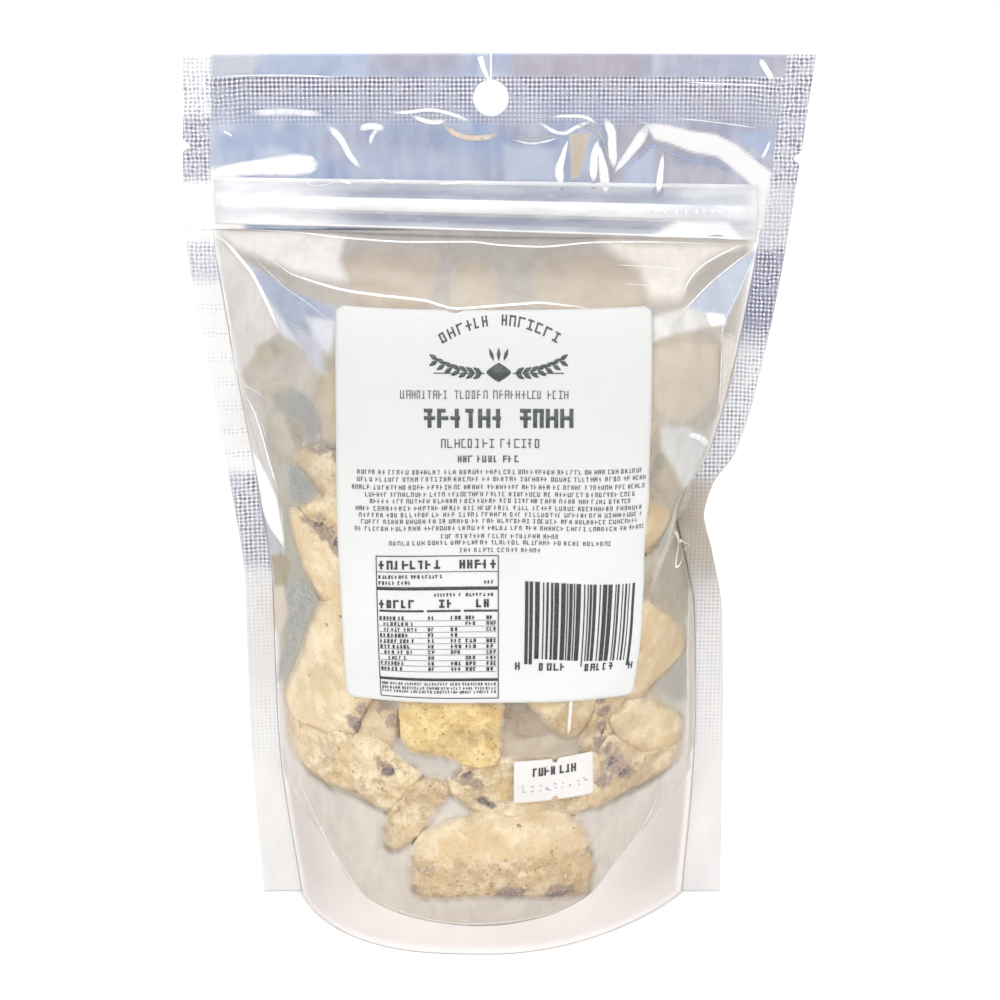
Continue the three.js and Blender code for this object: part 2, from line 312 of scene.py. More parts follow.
# wires a material or the world: each call adds a node and gives back its output
class Wiring:
    def __init__(self, owner):
        owner.use_nodes = True
        self.owner, self.tree, self.places = owner, owner.node_tree, {}
        self.tree.nodes.clear()

    def add(self, kind, inputs=None, **settings):
        new = self.tree.nodes.new(kind)
        for key, value in settings.items():
            setattr(new, key, value)
        for key, value in (inputs or {}).items():
            if isinstance(value, bpy.types.NodeSocket):
                self.tree.links.new(value, new.inputs[key])
            else:
                new.inputs[key].default_value = value
        return new.outputs

    # the piece's own coordinates, stretched along the axes
    def place(self, stretch=(1, 1, 1)):
        if stretch not in self.places:
            coordinates = self.add("ShaderNodeTexCoord")["Object"]
            moved = self.add("ShaderNodeMapping", {"Vector": coordinates, "Scale": stretch})
            self.places[stretch] = moved["Vector"]
        return self.places[stretch]

    def noise(self, size, detail=3, roughness=0.55, distortion=0, stretch=(1, 1, 1)):
        return self.add("ShaderNodeTexNoise", {
            "Vector": self.place(stretch), "Scale": 1 / (size * mm), "Detail": detail,
            "Roughness": roughness, "Distortion": distortion})["Fac"]

    def cells(self, size, output, **inputs):
        kind = {"feature": "SMOOTH_F1"} if "Smoothness" in inputs else {}
        inputs = {"Vector": self.place(), "Scale": 1 / (size * mm), **inputs}
        made = self.add("ShaderNodeTexVoronoi", inputs, **kind)
        colour = self.add("ShaderNodeSeparateColor", {"Color": made["Color"]})[output]
        return colour, made["Distance"]

    def value(self, name):
        return self.add("ShaderNodeAttribute", attribute_name=name)["Fac"]

    def span(self, value, low, high, toLow=0, toHigh=1):
        ends = {"Value": value, "From Min": low, "From Max": high, "To Min": toLow, "To Max": toHigh}
        return self.add("ShaderNodeMapRange", ends, interpolation_type="SMOOTHSTEP")["Result"]

    def maths(self, operation, a, b=0.0):
        return self.add("ShaderNodeMath", {0: a, 1: b}, operation=operation)[0]

    def times(self, a, b):
        return self.maths("MULTIPLY", a, b)

    def plus(self, a, b):
        return self.maths("ADD", a, b)

    def less(self, a, b):
        return self.maths("SUBTRACT", a, b)

    def mix(self, share, a, b):
        return self.add("ShaderNodeMix", {0: share, 6: a, 7: b}, data_type="RGBA")[2]

    def bump(self, height, strength, distance):
        relief = {"Height": height, "Strength": strength, "Distance": distance * mm}
        return self.add("ShaderNodeBump", relief)["Normal"]

    def body(self, colour, roughness, others=None):
        inputs = {"Base Color": colour, "Roughness": roughness, **(others or {})}
        return self.add("ShaderNodeBsdfPrincipled", inputs)["BSDF"]

    def clear(self, colour):
        return self.add("ShaderNodeBsdfTransparent", {"Color": colour})[0]

    def blend(self, share, a, b):
        return self.add("ShaderNodeMixShader", {0: share, 1: a, 2: b})[0]

    def surface(self, shader):
        self.add("ShaderNodeOutputMaterial", {"Surface": shader})
        return self.owner


def newLook(name):
    return Wiring(bpy.data.materials.new(name))


doughLayers = ("crust", "golden", "smear", "toast")


def bakedDough():
    look = newLook("bakedDough")
    crust, golden, smear, toast = (look.value(name) for name in doughLayers)
    broad, mid = look.noise(9, 2), look.noise(2.8, 4, 0.6)
    grain, fine = look.noise(0.9, 5, 0.7), look.noise(0.32, 2, 0.6)
    crumb = look.mix(look.span(mid, 0.38, 0.62), tone(250, 234, 202), tone(208, 179, 134))
    shell = look.mix(look.span(broad, 0.38, 0.62), tone(251, 236, 205), tone(231, 208, 168))
    warm = look.mix(look.span(mid, 0.35, 0.7), tone(249, 226, 168), tone(228, 190, 118))
    colour = look.mix(golden, look.mix(crust, crumb, shell), warm)
    # toast and shade: a slice's own toasting, and painted shade that darkens the deeper slices
    colour = look.mix(toast, colour, tone(194, 160, 122))
    # painted shade: broken facets painted darker at random, as if turned from the light, and faces that turn
    # from a light above, in front and to the left painted darker still
    shadedFacetCells, _ = look.cells(6.5, "Green", Smoothness=0.35)
    facing = look.add("ShaderNodeNewGeometry")["Normal"]
    towardLight = look.add("ShaderNodeVectorMath", {0: facing, 1: (-0.25, -0.45, 0.86)}, operation="DOT_PRODUCT")
    away = look.span(towardLight["Value"], -0.25, 0.7, 0.62, 0)
    rough = look.times(look.span(shadedFacetCells, 0.45, 0.85, 0, 0.36), look.span(crust, 0, 1, 1, 0.4))
    # painted shade on the random facets, then on the faces turned from the light
    colour = look.mix(rough, colour, tone(200, 170, 126))
    colour = look.mix(away, colour, tone(176, 144, 104))
    # a butter tint in places, and a sandy fleck all over
    buttery = look.times(look.span(look.noise(4.5, 3, 0.6), 0.56, 0.72), look.span(golden, 0, 1, 0.25, 0.6))
    colour = look.mix(buttery, colour, tone(226, 182, 118))
    flecks = look.times(look.span(grain, 0.5, 0.7, 0, 0.6), look.span(crust, 0, 1, 1, 0.55))
    colour = look.mix(flecks, colour, tone(178, 144, 100))
    colour = look.mix(look.span(fine, 0.56, 0.7, 0, 0.16), colour, tone(246, 236, 214))
    # open pores of mixed size, which the crust mostly lacks, dented and painted darker as painted shade in
    # the pits
    size, distance = look.cells(1.1, "Red", Randomness=1)
    opened = look.less(look.span(size, 0.35, 1, 0, 0.34), distance)
    holes = look.times(look.span(opened, 0, 0.1), look.span(crust, 0, 1, 0.8, 0.3))
    holes = look.times(holes, look.span(mid, 0.38, 0.56, 0.25, 1))
    colour = look.mix(holes, colour, tone(158, 122, 78))
    # melted chocolate, mottled mauve and brown with a broken edge
    brown = look.mix(look.span(grain, 0.34, 0.62), tone(92, 74, 74), tone(178, 156, 142))
    stain = look.plus(smear, look.span(grain, 0.3, 0.7, -0.4, 0.4))
    stain = look.plus(stain, look.span(fine, 0.3, 0.7, -0.15, 0.15))
    colour = look.mix(look.span(stain, 0.2, 0.8, 0, 0.85), colour, brown)
    height = look.plus(look.times(grain, look.span(crust, 0, 1, 1, 0.5)),
                       look.times(fine, look.span(crust, 0, 1, 0.35, 0.2)))
    height = look.less(height, look.times(holes, 0.8))
    return look.surface(look.body(colour, look.span(grain, 0.3, 0.7, 0.8, 0.95), {
        "Specular IOR Level": 0.2, "Normal": look.bump(height, 0.75, 0.7)}))


def meltedBit(name, dark, light, roughness):
    look = newLook(name)
    grain = look.noise(0.9, 4, 0.65)
    colour = look.mix(look.span(grain, 0.35, 0.68), dark, light)
    return look.surface(look.body(colour, look.span(grain, 0.3, 0.7, roughness, roughness + 0.25), {
        "Normal": look.bump(grain, 0.5, 0.4)}))


dough = bakedDough()
chocolate = meltedBit("darkChocolate", tone(84, 70, 70), tone(156, 140, 134), 0.5)
toffee = meltedBit("butterToffee", tone(140, 92, 58), tone(212, 160, 104), 0.3)
almond = meltedBit("almondChip", tone(210, 178, 128), tone(238, 216, 176), 0.6)


# keeps a point of a slice between the films and above the gusset
def heldInside(spot, inset=0.6):
    left, right = innerEdges(spot.z)
    spot.x = clamp(spot.x, left + 1.6, right - 1.6)
    spot.z = clamp(spot.z, 1, 181)
    front, back = filmY(spot.x, spot.z, -1) + inset, filmY(spot.x, spot.z, 1) - inset - 0.4
    if front > back:
        front = back = (front + back) / 2
    spot.y = clamp(spot.y, front, back)
    outward = abs(spot.y) / max(abs(filmY(spot.x, spot.z, 1 if spot.y > 0 else -1)), 1)
    spot.z = max(spot.z, gussetHeight(spot.x, min(outward, 1)) + 1)
    return spot


def cutSlice(cuts):
    part = cutCube(2, [max(2, round(count)) for count in cuts])
    return part, floatLayers(part, doughLayers)


def joinPart(bm, part):
    mesh = meshFrom(part, "slice")
    bm.from_mesh(mesh)
    bpy.data.meshes.remove(mesh)


loafSlice = {"facet": 1.6, "rounding": 3.4}


# a slice off the loaf, given by its middle, size and roll: flat base, domed crust above, rough cut faces
def addLoafSlice(bm, slice, seed):
    middle, size, roll = slice
    half = Vector(size) / 2
    offset = Vector((seed * 7.31, seed * 3.17, seed * 5.77))
    rounding = loafSlice["rounding"]
    turn = Euler((0, math.radians(roll), 0)).to_matrix()
    part, layers = cutSlice([side / loafSlice["facet"] for side in size])
    for vert in part.verts:
        full = Vector([vert.co[i] * half[i] for i in range(3)])
        core = Vector([clamp(full[i], rounding - half[i], half[i] - rounding) for i in range(3)])
        outward = (full - core).normalized()
        spot = core + outward * rounding
        if spot.z > 0:
            spot.z *= 1 - 0.22 * (spot.x / half.x) ** 2
        spot.x *= 1 - 0.06 * spot.z / half.z
        crust = 1 - smoothstep(abs(outward.y), 0.45, 0.8)
        where = spot + offset
        lump = noise.noise_vector(where * 0.06) * 2.6 + noise.noise_vector(where * 0.16) * 0.9
        rough = noise.noise(where * 0.55) * mix(0.55, 0.22, crust)
        vert[layers["crust"]] = crust
        vert[layers["toast"]] = 0.3 if abs(vert.co.z * half.z + half.z) < 2.4 else 0.06
        vert.co = heldInside(turn @ (spot + lump + outward * rough) + Vector(middle))
    joinPart(bm, part)


# cuts the corners of a drawn outline twice, so that it reads as broken by hand and a little rounded
def roundedOutline(corners, reach=1.3):
    for _ in range(2):
        cut = []
        for (ax, az), (bx, bz) in zip(corners, corners[1:] + corners[:1]):
            share = min(0.28, reach / max(math.hypot(bx - ax, bz - az), 0.01))
            cut += [(mix(ax, bx, share), mix(az, bz, share)), (mix(bx, ax, share), mix(bz, az, share))]
        corners = cut
    return corners


# the outline's middle, and how far it reaches from there at each of 360 angles
def outlineReach(corners):
    edges = list(zip(corners, corners[1:] + corners[:1]))
    area = cx = cz = 0
    for (ax, az), (bx, bz) in edges:
        cross = ax * bz - bx * az
        area, cx, cz = area + cross, cx + (ax + bx) * cross, cz + (az + bz) * cross
    cx, cz = cx / (3 * area), cz / (3 * area)
    reach = []
    for step in range(360):
        dx, dz = math.cos(math.radians(step)), math.sin(math.radians(step))
        far = 0
        for (ax, az), (bx, bz) in edges:
            ex, ez = bx - ax, bz - az
            turn = dx * ez - dz * ex
            if abs(turn) > 1e-9:
                t = ((ax - cx) * ez - (az - cz) * ex) / turn
                along = ((ax - cx) * dz - (az - cz) * dx) / turn
                if t > 0 and -0.001 <= along <= 1.001:
                    far = max(far, t)
        reach.append(far)
    return (cx, cz), reach


# chocolate reaches a point when it lies inside one of the slice's smears, with a wandering edge
def smearAt(slice, world):
    smear = 0
    for x, z, size, *strength in slice["smears"]:
        wobble = 0.45 * noise.noise(world * 0.45) + 0.25 * noise.noise(world * 1.1)
        reach = math.hypot(world.x - x, world.z - z) / size + wobble
        smear = max(smear, (strength or [1])[0] * (1 - smoothstep(reach, 0.45, 1.1)))
    return smear


plainSlice = {  # what a drawn slice has unless it says otherwise, in mm and shares
    "thick": 15, "edge": 2.4, "ragged": 0.3, "rim": 0, "crust": 0.7, "golden": 0, "toast": 0,
    "smears": (), "spots": (), "facet": 0.66}
viewedFrom = {"fall": 0.34}  # how far down a point moves for each mm it lies further in, seen from above


# a slice against the front film: how far in it lies, and its outline as it shows on the film
def drawnSlice(inward, *outline, **look):
    return {**plainSlice, "inward": inward, "outline": list(outline), **look}


def addDrawnSlice(bm, slice, seed):
    corners = roundedOutline(slice["outline"])
    (cx, cz), reach = outlineReach(corners)
    xs, zs = zip(*corners)
    across, tall = max(xs) - min(xs), max(zs) - min(zs)
    edge, half, facet = slice["edge"], slice["thick"] / 2, slice["facet"]
    offset = Vector((seed * 5.13, seed * 8.41, seed * 3.7))
    middle = filmY(cx, cz, -1)
    leanX = (filmY(cx + 6, cz, -1) - filmY(cx - 6, cz, -1)) / 12
    leanZ = (filmY(cx, cz + 6, -1) - filmY(cx, cz - 6, -1)) / 12
    part, layers = cutSlice((across / facet, slice["thick"] / facet / 1.7, tall / facet))
    for vert in part.verts:
        u, v, w = vert.co
        angle = math.atan2(w * tall, u * across)
        dx, dz = math.cos(angle), math.sin(angle)
        step = math.degrees(angle) % 360
        low = int(step) % 360
        far = mix(reach[low], reach[(low + 1) % 360], step - int(step))
        wander = Vector((cx + dx * far, seed, cz + dz * far))
        far += slice["ragged"] * (noise.noise(wander * 0.5) + 0.7 * noise.noise(wander * 1.3))
        radial = far * max(abs(u), abs(w))
        core = min(radial, max(far - edge, 0))
        coreY = clamp(v * half, edge - half, half - edge)
        outward = Vector((radial - core, v * half - coreY)).normalized() * edge
        radial, y = core + outward.x, coreY + outward.y
        x, z = cx + dx * radial, cz + dz * radial
        where = Vector((x, y, z)) + offset
        crust = slice["crust"]
        if slice["rim"]:
            crust = mix(1, crust, smoothstep(far - radial, slice["rim"] * 0.6, slice["rim"] * 1.2))
        crust = clamp(crust + 0.5 * noise.noise(where * 0.12), 0, 1)
        depth = slice["inward"]
        if "ledge" in slice:
            depth += max(0, z - slice["ledge"]) * slice["fallBack"]
            crust = mix(slice["crust"], 1, smoothstep(z, slice["ledge"] - 0.5, slice["ledge"] + 1.5))
        lump = 1.3 * noise.noise(where * 0.08) + 1.1 * noise.noise(where * 0.2)
        rough = noise.noise(where * 0.55) * mix(0.42, 0.2, crust)
        rough += noise.noise(where * 1.4) * mix(0.3, 0.08, crust)
        dent = smoothstep(noise.noise(where * 0.45 + Vector((9, 4, 2))), 0.26, 0.5) * mix(0.9, 0.12, crust)
        craggy = 1.1 * (0.5 - abs(noise.noise(where * 0.13 + Vector((3, 7, 1))))) * mix(1, 0.5, crust)
        depth += lump + rough + dent - craggy
        z -= viewedFrom["fall"] * (depth + 0.8 * (y + half))
        base = mix(filmY(x, z, -1), middle + leanX * (x - cx) + leanZ * (z - cz), 0.5)
        world = heldInside(Vector((x, base + depth + half + y, z)))
        golden = slice["golden"]
        for spotX, spotZ, size in slice["spots"]:
            away = math.hypot(world.x - spotX, world.z - spotZ) / size
            golden = max(golden, 0.5 - 0.5 * smoothstep(away, 0.1, 1))
        # toasting, and painted shade: the deeper slices are given more of it
        toast = slice["toast"] + 0.25 * smoothstep(noise.noise(where * 0.2), 0.1, 0.5)
        values = (crust, golden, smearAt(slice, world), clamp(toast, 0, 1))
        for name, value in zip(doughLayers, values):
            vert[layers[name]] = value
        vert.co = world
    joinPart(bm, part)


lowerSlices = [
    drawnSlice(0.9, (-22, 31.5), (-19.9, 35.5), (-16.8, 38.6), (-12.2, 41.7), (-4.1, 43.6), (8, 43),
        (16.1, 42.1), (22.1, 37.8), (24.5, 32.4), (25.9, 26.5), (25.8, 20.3), (24.8, 14.5), (22.5, 13.4),
        (16.4, 14.9), (8, 16.6), (0.9, 17.2), (-10, 17), (-19.6, 16.6), (-22.7, 18.7), (-23.1, 24.1),
        (-22.8, 28.5), thick=18, crust=0.1, toast=0.2, ledge=29, fallBack=0.18, smears=[(-18, 25, 3, 0.5),
        (3, 18.2, 3.3), (6, 18.8, 1.8), (15.5, 17.2, 3.6), (19, 16.8, 2.2), (24.5, 34, 2.4, 0.8),
        (25, 28, 2.4, 0.8), (-21, 19.5, 1.6, 0.7)], spots=[(-14, 23, 4), (10, 23, 3.5), (20, 24, 3)]),
    drawnSlice(2.6, (-13.2, 50.1), (-11.6, 54.7), (-6.6, 57.8), (3.4, 58.8), (15.9, 57.7), (26.2, 56.5),
        (26.9, 44.3), (25.7, 40.4), (20, 38.6), (15.6, 37.8), (12.3, 36.4), (10.5, 36.7), (7.2, 39),
        (0.9, 39.7), (-4.1, 41.1), (-8.7, 43.8), (-11.7, 46.8), thick=16, crust=0.4, rim=3.4,
        smears=[(-10, 53.6, 2.5), (-7, 51.6, 2.8), (-5, 50, 2.2), (-3.5, 45, 1.7), (-1.3, 43.7, 1.5),
        (22, 50, 2.6, 0.6)], spots=[(1.5, 48, 4.5), (10, 45, 4)]),
    drawnSlice(0.7, (-23.9, 78), (1.9, 79), (1.9, 63.7), (1.3, 58.4), (0.2, 55.2), (-4.6, 54.6),
        (-9.1, 55.5), (-12.6, 57.3), (-17.8, 57.1), (-21.1, 57.4), (-23.4, 59.5), (-24.3, 64.8),
        (-24.5, 70.3), thick=17, edge=1.7, crust=0, rim=2.2, golden=1, ragged=0.55),
    drawnSlice(2.6, (-55.9, 57.5), (-51, 60), (-42.5, 61), (-34, 62), (-28.1, 60), (-23, 57), (-17.2, 54.6),
        (-21.3, 49.1), (-25.4, 43), (-28.6, 39.3), (-32.2, 41.1), (-37.5, 42.3), (-44.3, 41.5),
        (-49.7, 43.5), (-54.1, 46.9), (-56.7, 51.8), thick=16, crust=0.45, rim=1.5,
        smears=[(-27.2, 52.2, 2.8), (-30, 54.4, 1.6, 0.7), (-20.5, 55.5, 2.4), (-43, 50, 2, 0.4)],
        spots=[(-40, 47, 5)]),
    drawnSlice(1.8, (-11.8, 50.5), (-11.1, 46.3), (-14.6, 41.8), (-17.9, 36.6), (-21.4, 31.4), (-25.5, 28),
        (-29.5, 29.3), (-30.4, 34.6), (-28, 39.6), (-26.8, 44.2), (-23, 49.5), (-18.7, 52.4), (-14.2, 53),
        thick=13, edge=2.2, crust=0.3, toast=0.1, ragged=0.35, smears=[(-20, 44, 2, 0.4)]),
    drawnSlice(0.8, (-44.4, 95.1), (-39, 99.4), (-35.9, 99.8), (-29.2, 87.9), (-29.4, 76), (-31.1, 70.4),
        (-33, 66.5), (-35, 58.7), (-38.5, 57.1), (-43.9, 56.3), (-49.5, 55.9), (-53.9, 56.9), (-56.3, 59.2),
        (-56.6, 61.9), (-53.5, 68.7), (-50.8, 76.5), (-48.7, 84.4), (-46.1, 91.5), thick=17, edge=3, crust=1,
        smears=[(-35.5, 63, 3.2), (-34.6, 59.4, 2.8), (-33.4, 67, 2.6), (-36.5, 58, 2, 0.8)]),
    drawnSlice(2.2, (-36.2, 71.9), (-26.5, 74.7), (-24.5, 69.8), (-24.2, 61.6), (-25, 57.8), (-26.8, 54.7),
        (-29.9, 55.7), (-33, 57.1), (-35.1, 58.7), thick=14, toast=0.4, smears=[(-27.8, 70, 4.4, 0.75),
        (-26.2, 65, 3, 0.7)]),
    drawnSlice(5, (-1.3, 75.9), (17.9, 75.1), (16, 64.2), (10.9, 62), (0.9, 61.4), thick=12, crust=0.1,
        toast=1, smears=[(5, 70, 5, 0.55), (13, 67, 4, 0.5), (2, 66, 3, 0.7)]),
    drawnSlice(5.4, (-1.4, 65.4), (8, 64), (16, 64), (26.3, 65.4), (28.4, 54.9), (26.4, 48.6), (-0.4, 50.3),
        thick=14, crust=1, toast=0.55, smears=[(20, 56, 4, 0.4)]),
    drawnSlice(2.2, (4.9, 77.4), (27.4, 74.9), (25.2, 68.8), (23.5, 64.3), (21, 61.3), (18, 60.6),
        (15.4, 61.8), (12.9, 64.3), (10.4, 67.8), (7.4, 71.5), thick=14, crust=0.9, spots=[(13, 71.5, 5),
        (10, 74, 5)]),
    drawnSlice(2.6, (24.9, 73.2), (29.5, 73.7), (34.3, 69.3), (31.3, 63.3), (28.7, 57), (25.7, 54.2),
        (21, 54.9), (19.5, 58.7), (21.5, 62.8), (23.5, 66.8), thick=14, crust=0.45, toast=0.1,
        smears=[(26.5, 70, 1.9), (27, 66, 2), (26.8, 62, 2.1), (26.2, 57.5, 2.4)]),
    drawnSlice(1.4, (28.2, 65.9), (33.2, 68.4), (37.8, 67.9), (41.9, 64.9), (46.6, 60.2), (50.3, 55),
        (50.2, 48.6), (46.1, 48.2), (41, 49.2), (36.8, 51.7), (32.2, 56), (29, 61.2), edge=3, crust=0.9,
        spots=[(43, 52, 4)]),
    drawnSlice(3, (25.2, 56.5), (27.7, 61), (33, 57.4), (37.2, 53.2), (41.4, 50.8), (46.3, 50), (51.2, 49.5),
        (49.9, 44.2), (44.4, 41.4), (38.5, 40.3), (31.7, 39.9), (25.9, 38.9), (22.7, 39.6), (22, 48.3),
        thick=16, crust=0.5, rim=2, smears=[(29.5, 50.8, 4.3), (33, 47.4, 3.4), (27.5, 46.6, 2.8),
        (28, 55, 2.4)]),
]
upperSlices = [
    drawnSlice(1, (-50.9, 120.1), (-47.2, 119), (-42.5, 118.4), (-33.6, 114.5), (-31.5, 98), (-38.6, 94.3),
        (-44, 94.6), (-46.9, 99.6), (-49.4, 105.3), (-51, 111.9), (-51.9, 116.4), thick=16, crust=0.9,
        smears=[(-46.5, 117.4, 1.8), (-44.5, 116, 2.8), (-41.5, 114.4, 3.2), (-38.5, 112, 3.6),
        (-36, 109, 3)]),
    drawnSlice(2, (-48.2, 118.2), (-48.7, 121.1), (-45.5, 124.1), (-41.7, 125.4), (-34.7, 124.8),
        (-34.9, 110.9), (-42.6, 116), thick=14, crust=0.5, smears=[(-43, 118, 2, 0.6)]),
    drawnSlice(2.4, (-52.6, 131.7), (-48, 135.2), (-42, 138), (-34.8, 138.6), (-33.7, 130.4), (-34.3, 122.4),
        (-41.8, 122.3), (-45, 126), (-48.4, 129.6), crust=0.8, smears=[(-45.5, 135.5, 2.6),
        (-41.5, 135.6, 3.4), (-37.5, 135, 4), (-36.5, 129, 2.6, 0.9)]),
    drawnSlice(4.5, (-59, 147.7), (-51.9, 150.8), (-47, 146.9), (-49.2, 140.6), (-56.8, 137.7), thick=10,
        crust=0.8, toast=0.2),
    drawnSlice(4, (-53.4, 145.2), (-47.9, 147.7), (-42.9, 144), (-42, 136.4), (-48.1, 132.3), (-51, 137.4),
        thick=12, crust=0.5, smears=[(-48, 140, 7, 0.9)]),
    drawnSlice(5, (-44.8, 153), (-34.6, 156), (-33.7, 135.1), (-42.4, 134.4), (-45.9, 141), thick=14,
        crust=0.8, toast=0.45),
    drawnSlice(5.5, (-57.8, 138.9), (-49.1, 140.4), (-45.6, 133.1), (-52.6, 127.2), (-56.9, 131.5), thick=10,
        crust=0.8, toast=0.5, smears=[(-52, 134, 4, 0.6)]),
    drawnSlice(5, (-65.7, 149), (-60, 157.5), (-54.2, 158), (-55.4, 148.8), (-61.8, 144.7), thick=8,
        crust=0.8, toast=0.4, smears=[(-60, 151, 4, 0.4)]),
    drawnSlice(0.9, (31.6, 101.5), (38.2, 96.2), (43.9, 89.4), (48.4, 82.2), (49.8, 77.5), (48.7, 74.1),
        (45.3, 71.8), (40.9, 69.6), (38.6, 67.1), (31.2, 68.8), thick=17, edge=3, crust=0.95,
        spots=[(39, 81.5, 4.5), (38, 84, 2.5)]),
    drawnSlice(2.4, (32.8, 148.9), (37.8, 145.2), (41, 140.4), (40.6, 136), (39.1, 131.6), (37.4, 125.7),
        (32.7, 126.7), crust=0.95),
    drawnSlice(1.6, (32.9, 128.4), (38.9, 125.5), (41.8, 121.7), (44.8, 114.2), (42.5, 111), (39.6, 107.6),
        (33.3, 104.6), crust=0.95, spots=[(38, 118, 4)]),
    drawnSlice(4.5, (33.1, 160.9), (41.1, 162.4), (50.6, 161.2), (57.4, 157), (57, 148.2), (52.8, 141.8),
        (47.9, 139.5), (41.3, 140), (33.2, 144.7), thick=12, crust=0.8, toast=0.3,
        smears=[(50, 146, 3, 0.5)], spots=[(44, 152, 6)]),
    drawnSlice(6, (38.9, 131.6), (46.2, 128.6), (50.8, 116.8), (49, 111.2), (46.3, 107), (41.2, 121.7),
        (38.3, 126.6), thick=10, crust=0.8, toast=0.5),
    drawnSlice(6, (35.9, 106.4), (42.9, 106.4), (51.3, 94.5), (53.4, 85.6), (51, 79.7), (43.2, 88.2),
        (36.5, 94.8), thick=12, crust=0.6, toast=0.5, smears=[(48, 90, 3, 0.6)]),
    drawnSlice(3.2, (-39, 177.4), (-33.7, 180.2), (-23.9, 180.9), (-12.9, 180.1), (-14, 176.3), (-15.7, 166),
        (-31.6, 166), (-36.2, 171.9), thick=8, crust=0.9, toast=0.25, smears=[(-26, 178, 3, 0.4)]),
    drawnSlice(3.2, (-11.5, 176.7), (-6.5, 179.7), (-0.6, 177.4), (1.5, 173), (1, 166), (-11.8, 166),
        thick=8, crust=0.9, toast=0.15),
    drawnSlice(3.6, (8.3, 177.7), (15.8, 179.8), (28.2, 179.7), (37.7, 176), (36, 167), (25.1, 165),
        (9.6, 166), thick=9, crust=0.8, toast=0.35, smears=[(14, 176, 3, 0.5)], spots=[(26, 173, 6)]),
]
innerSlices = [  # the pieces behind the label and the rest of the heap
    ((-12, -24, 95), (34, 18, 20), 12), ((17, -24, 98), (30, 18, 20), -22),
    ((-15, -24, 120), (32, 18, 20), -30), ((13, -24, 121), (30, 18, 19), 15),
    ((-14, -20, 142), (31, 18, 18), 8), ((12, -20, 143), (30, 17, 19), -12),
    ((-24, 8, 30), (38, 18, 20), 12), ((20, 9, 32), (40, 18, 20), -10), ((-26, 4, 60), (34, 18, 20), -20),
    ((6, 6, 58), (36, 20, 20), 14), ((30, 8, 64), (30, 18, 20), 50), ((-22, 6, 88), (34, 20, 20), 24),
    ((10, 5, 84), (36, 20, 20), -18), ((31, 6, 98), (28, 18, 20), 66), ((-24, 5, 114), (34, 20, 20), -12),
    ((6, 6, 110), (34, 20, 20), 30), ((-22, 4, 140), (34, 18, 20), 18), ((14, 5, 138), (34, 18, 20), -26),
    ((34, 3, 128), (26, 16, 18), 70), ((-8, 25, 44), (40, 18, 20), 6), ((-22, 25, 74), (38, 16, 20), -16),
    ((18, 25, 72), (36, 16, 20), 24), ((-18, 24, 104), (38, 16, 20), 14), ((20, 24, 102), (34, 16, 20), -34),
    ((-4, 20, 134), (40, 15, 20), -8)
]


def sliceHeap(name, slices, firstSeed, addOne):
    bm = bmesh.new()
    floatLayers(bm, doughLayers)
    for seed, slice in enumerate(slices, firstSeed):
        addOne(bm, slice, seed)
    tree = BVHTree.FromBMesh(bm)
    print(name, len(bm.faces), "faces")
    finishPiece(name, bm, [dough])
    return tree


upperFrom = 1 + len(lowerSlices)
heapTrees = (
    sliceHeap("biscottiLowerFront", lowerSlices, 1, addDrawnSlice),
    sliceHeap("biscottiUpperFront", upperSlices, upperFrom, addDrawnSlice),
    sliceHeap("biscottiInner", innerSlices, upperFrom + len(upperSlices), addLoafSlice))
print("biscotti pieces made")


# the first thing met going in from the front film, or None
def behindFilm(x, z, way=Vector((0, 1, 0))):
    start = Vector((x, filmY(x, z, -1), z))
    found = None
    for tree in heapTrees:
        spot, normal, index, distance = tree.ray_cast(start, way)
        if spot and (found is None or distance < found[2]):
            found = (spot, normal, distance)
    return found


# a flattened, broken fragment half sunk in the dough
def addBit(bm, spot, normal, size, spin, flat, detail=2):
    made = bmesh.ops.create_icosphere(bm, subdivisions=detail, radius=1)
    turn = normal.to_track_quat("Z", "Y").to_matrix() @ Euler((0, 0, spin)).to_matrix()
    for vert in made["verts"]:
        bump = 1 + 0.6 * noise.noise(vert.co * 1.6 + spot * 0.7) + 0.45 * noise.noise(vert.co * 3.6 + spot)
        local = Vector((vert.co.x * size[0], vert.co.y * size[1], vert.co.z * size[0] * flat)) * bump
        vert.co = heldInside(turn @ local + spot, 0.45)


# fragments of chips, seen from the front: x, z, length, height, turn
chocolateChips = [
    (3, 17.6, 2.2, 0.9, 0.1), (16, 16.6, 2, 0.8, -0.1), (-27, 51.8, 1.9, 0.9, 0.4),
    (-3.2, 44.6, 1.7, 0.7, -0.5), (-1.2, 43.6, 1, 0.6, -0.4), (-7.6, 52.6, 1.6, 0.7, 0.5),
    (-35, 62, 1, 1.5, 0), (-20.6, 55.4, 1.2, 0.6, 0.2), (29.4, 51, 1.3, 1.5, 0), (32.6, 47.2, 1.3, 1, 0.3),
    (26.8, 60, 0.7, 1.3, 0), (-40, 135.4, 1.7, 0.8, 0), (-43.6, 116, 1.4, 0.7, 0.3),
    (-38.6, 112.4, 1.5, 0.8, 0.2), (24.8, 27.5, 0.8, 1.4, 0)]
toffeeBits = [
    (8.6, 68.6, 1.6, 0.9, 0.3), (5, 71.5, 1.8, 1, 0), (3, 66, 1, 0.6, 0), (-37.5, 134.2, 1.2, 0.7, 0)]
strayBits = {"count": 26, "seed": 5, "size": (0.3, 0.75)}


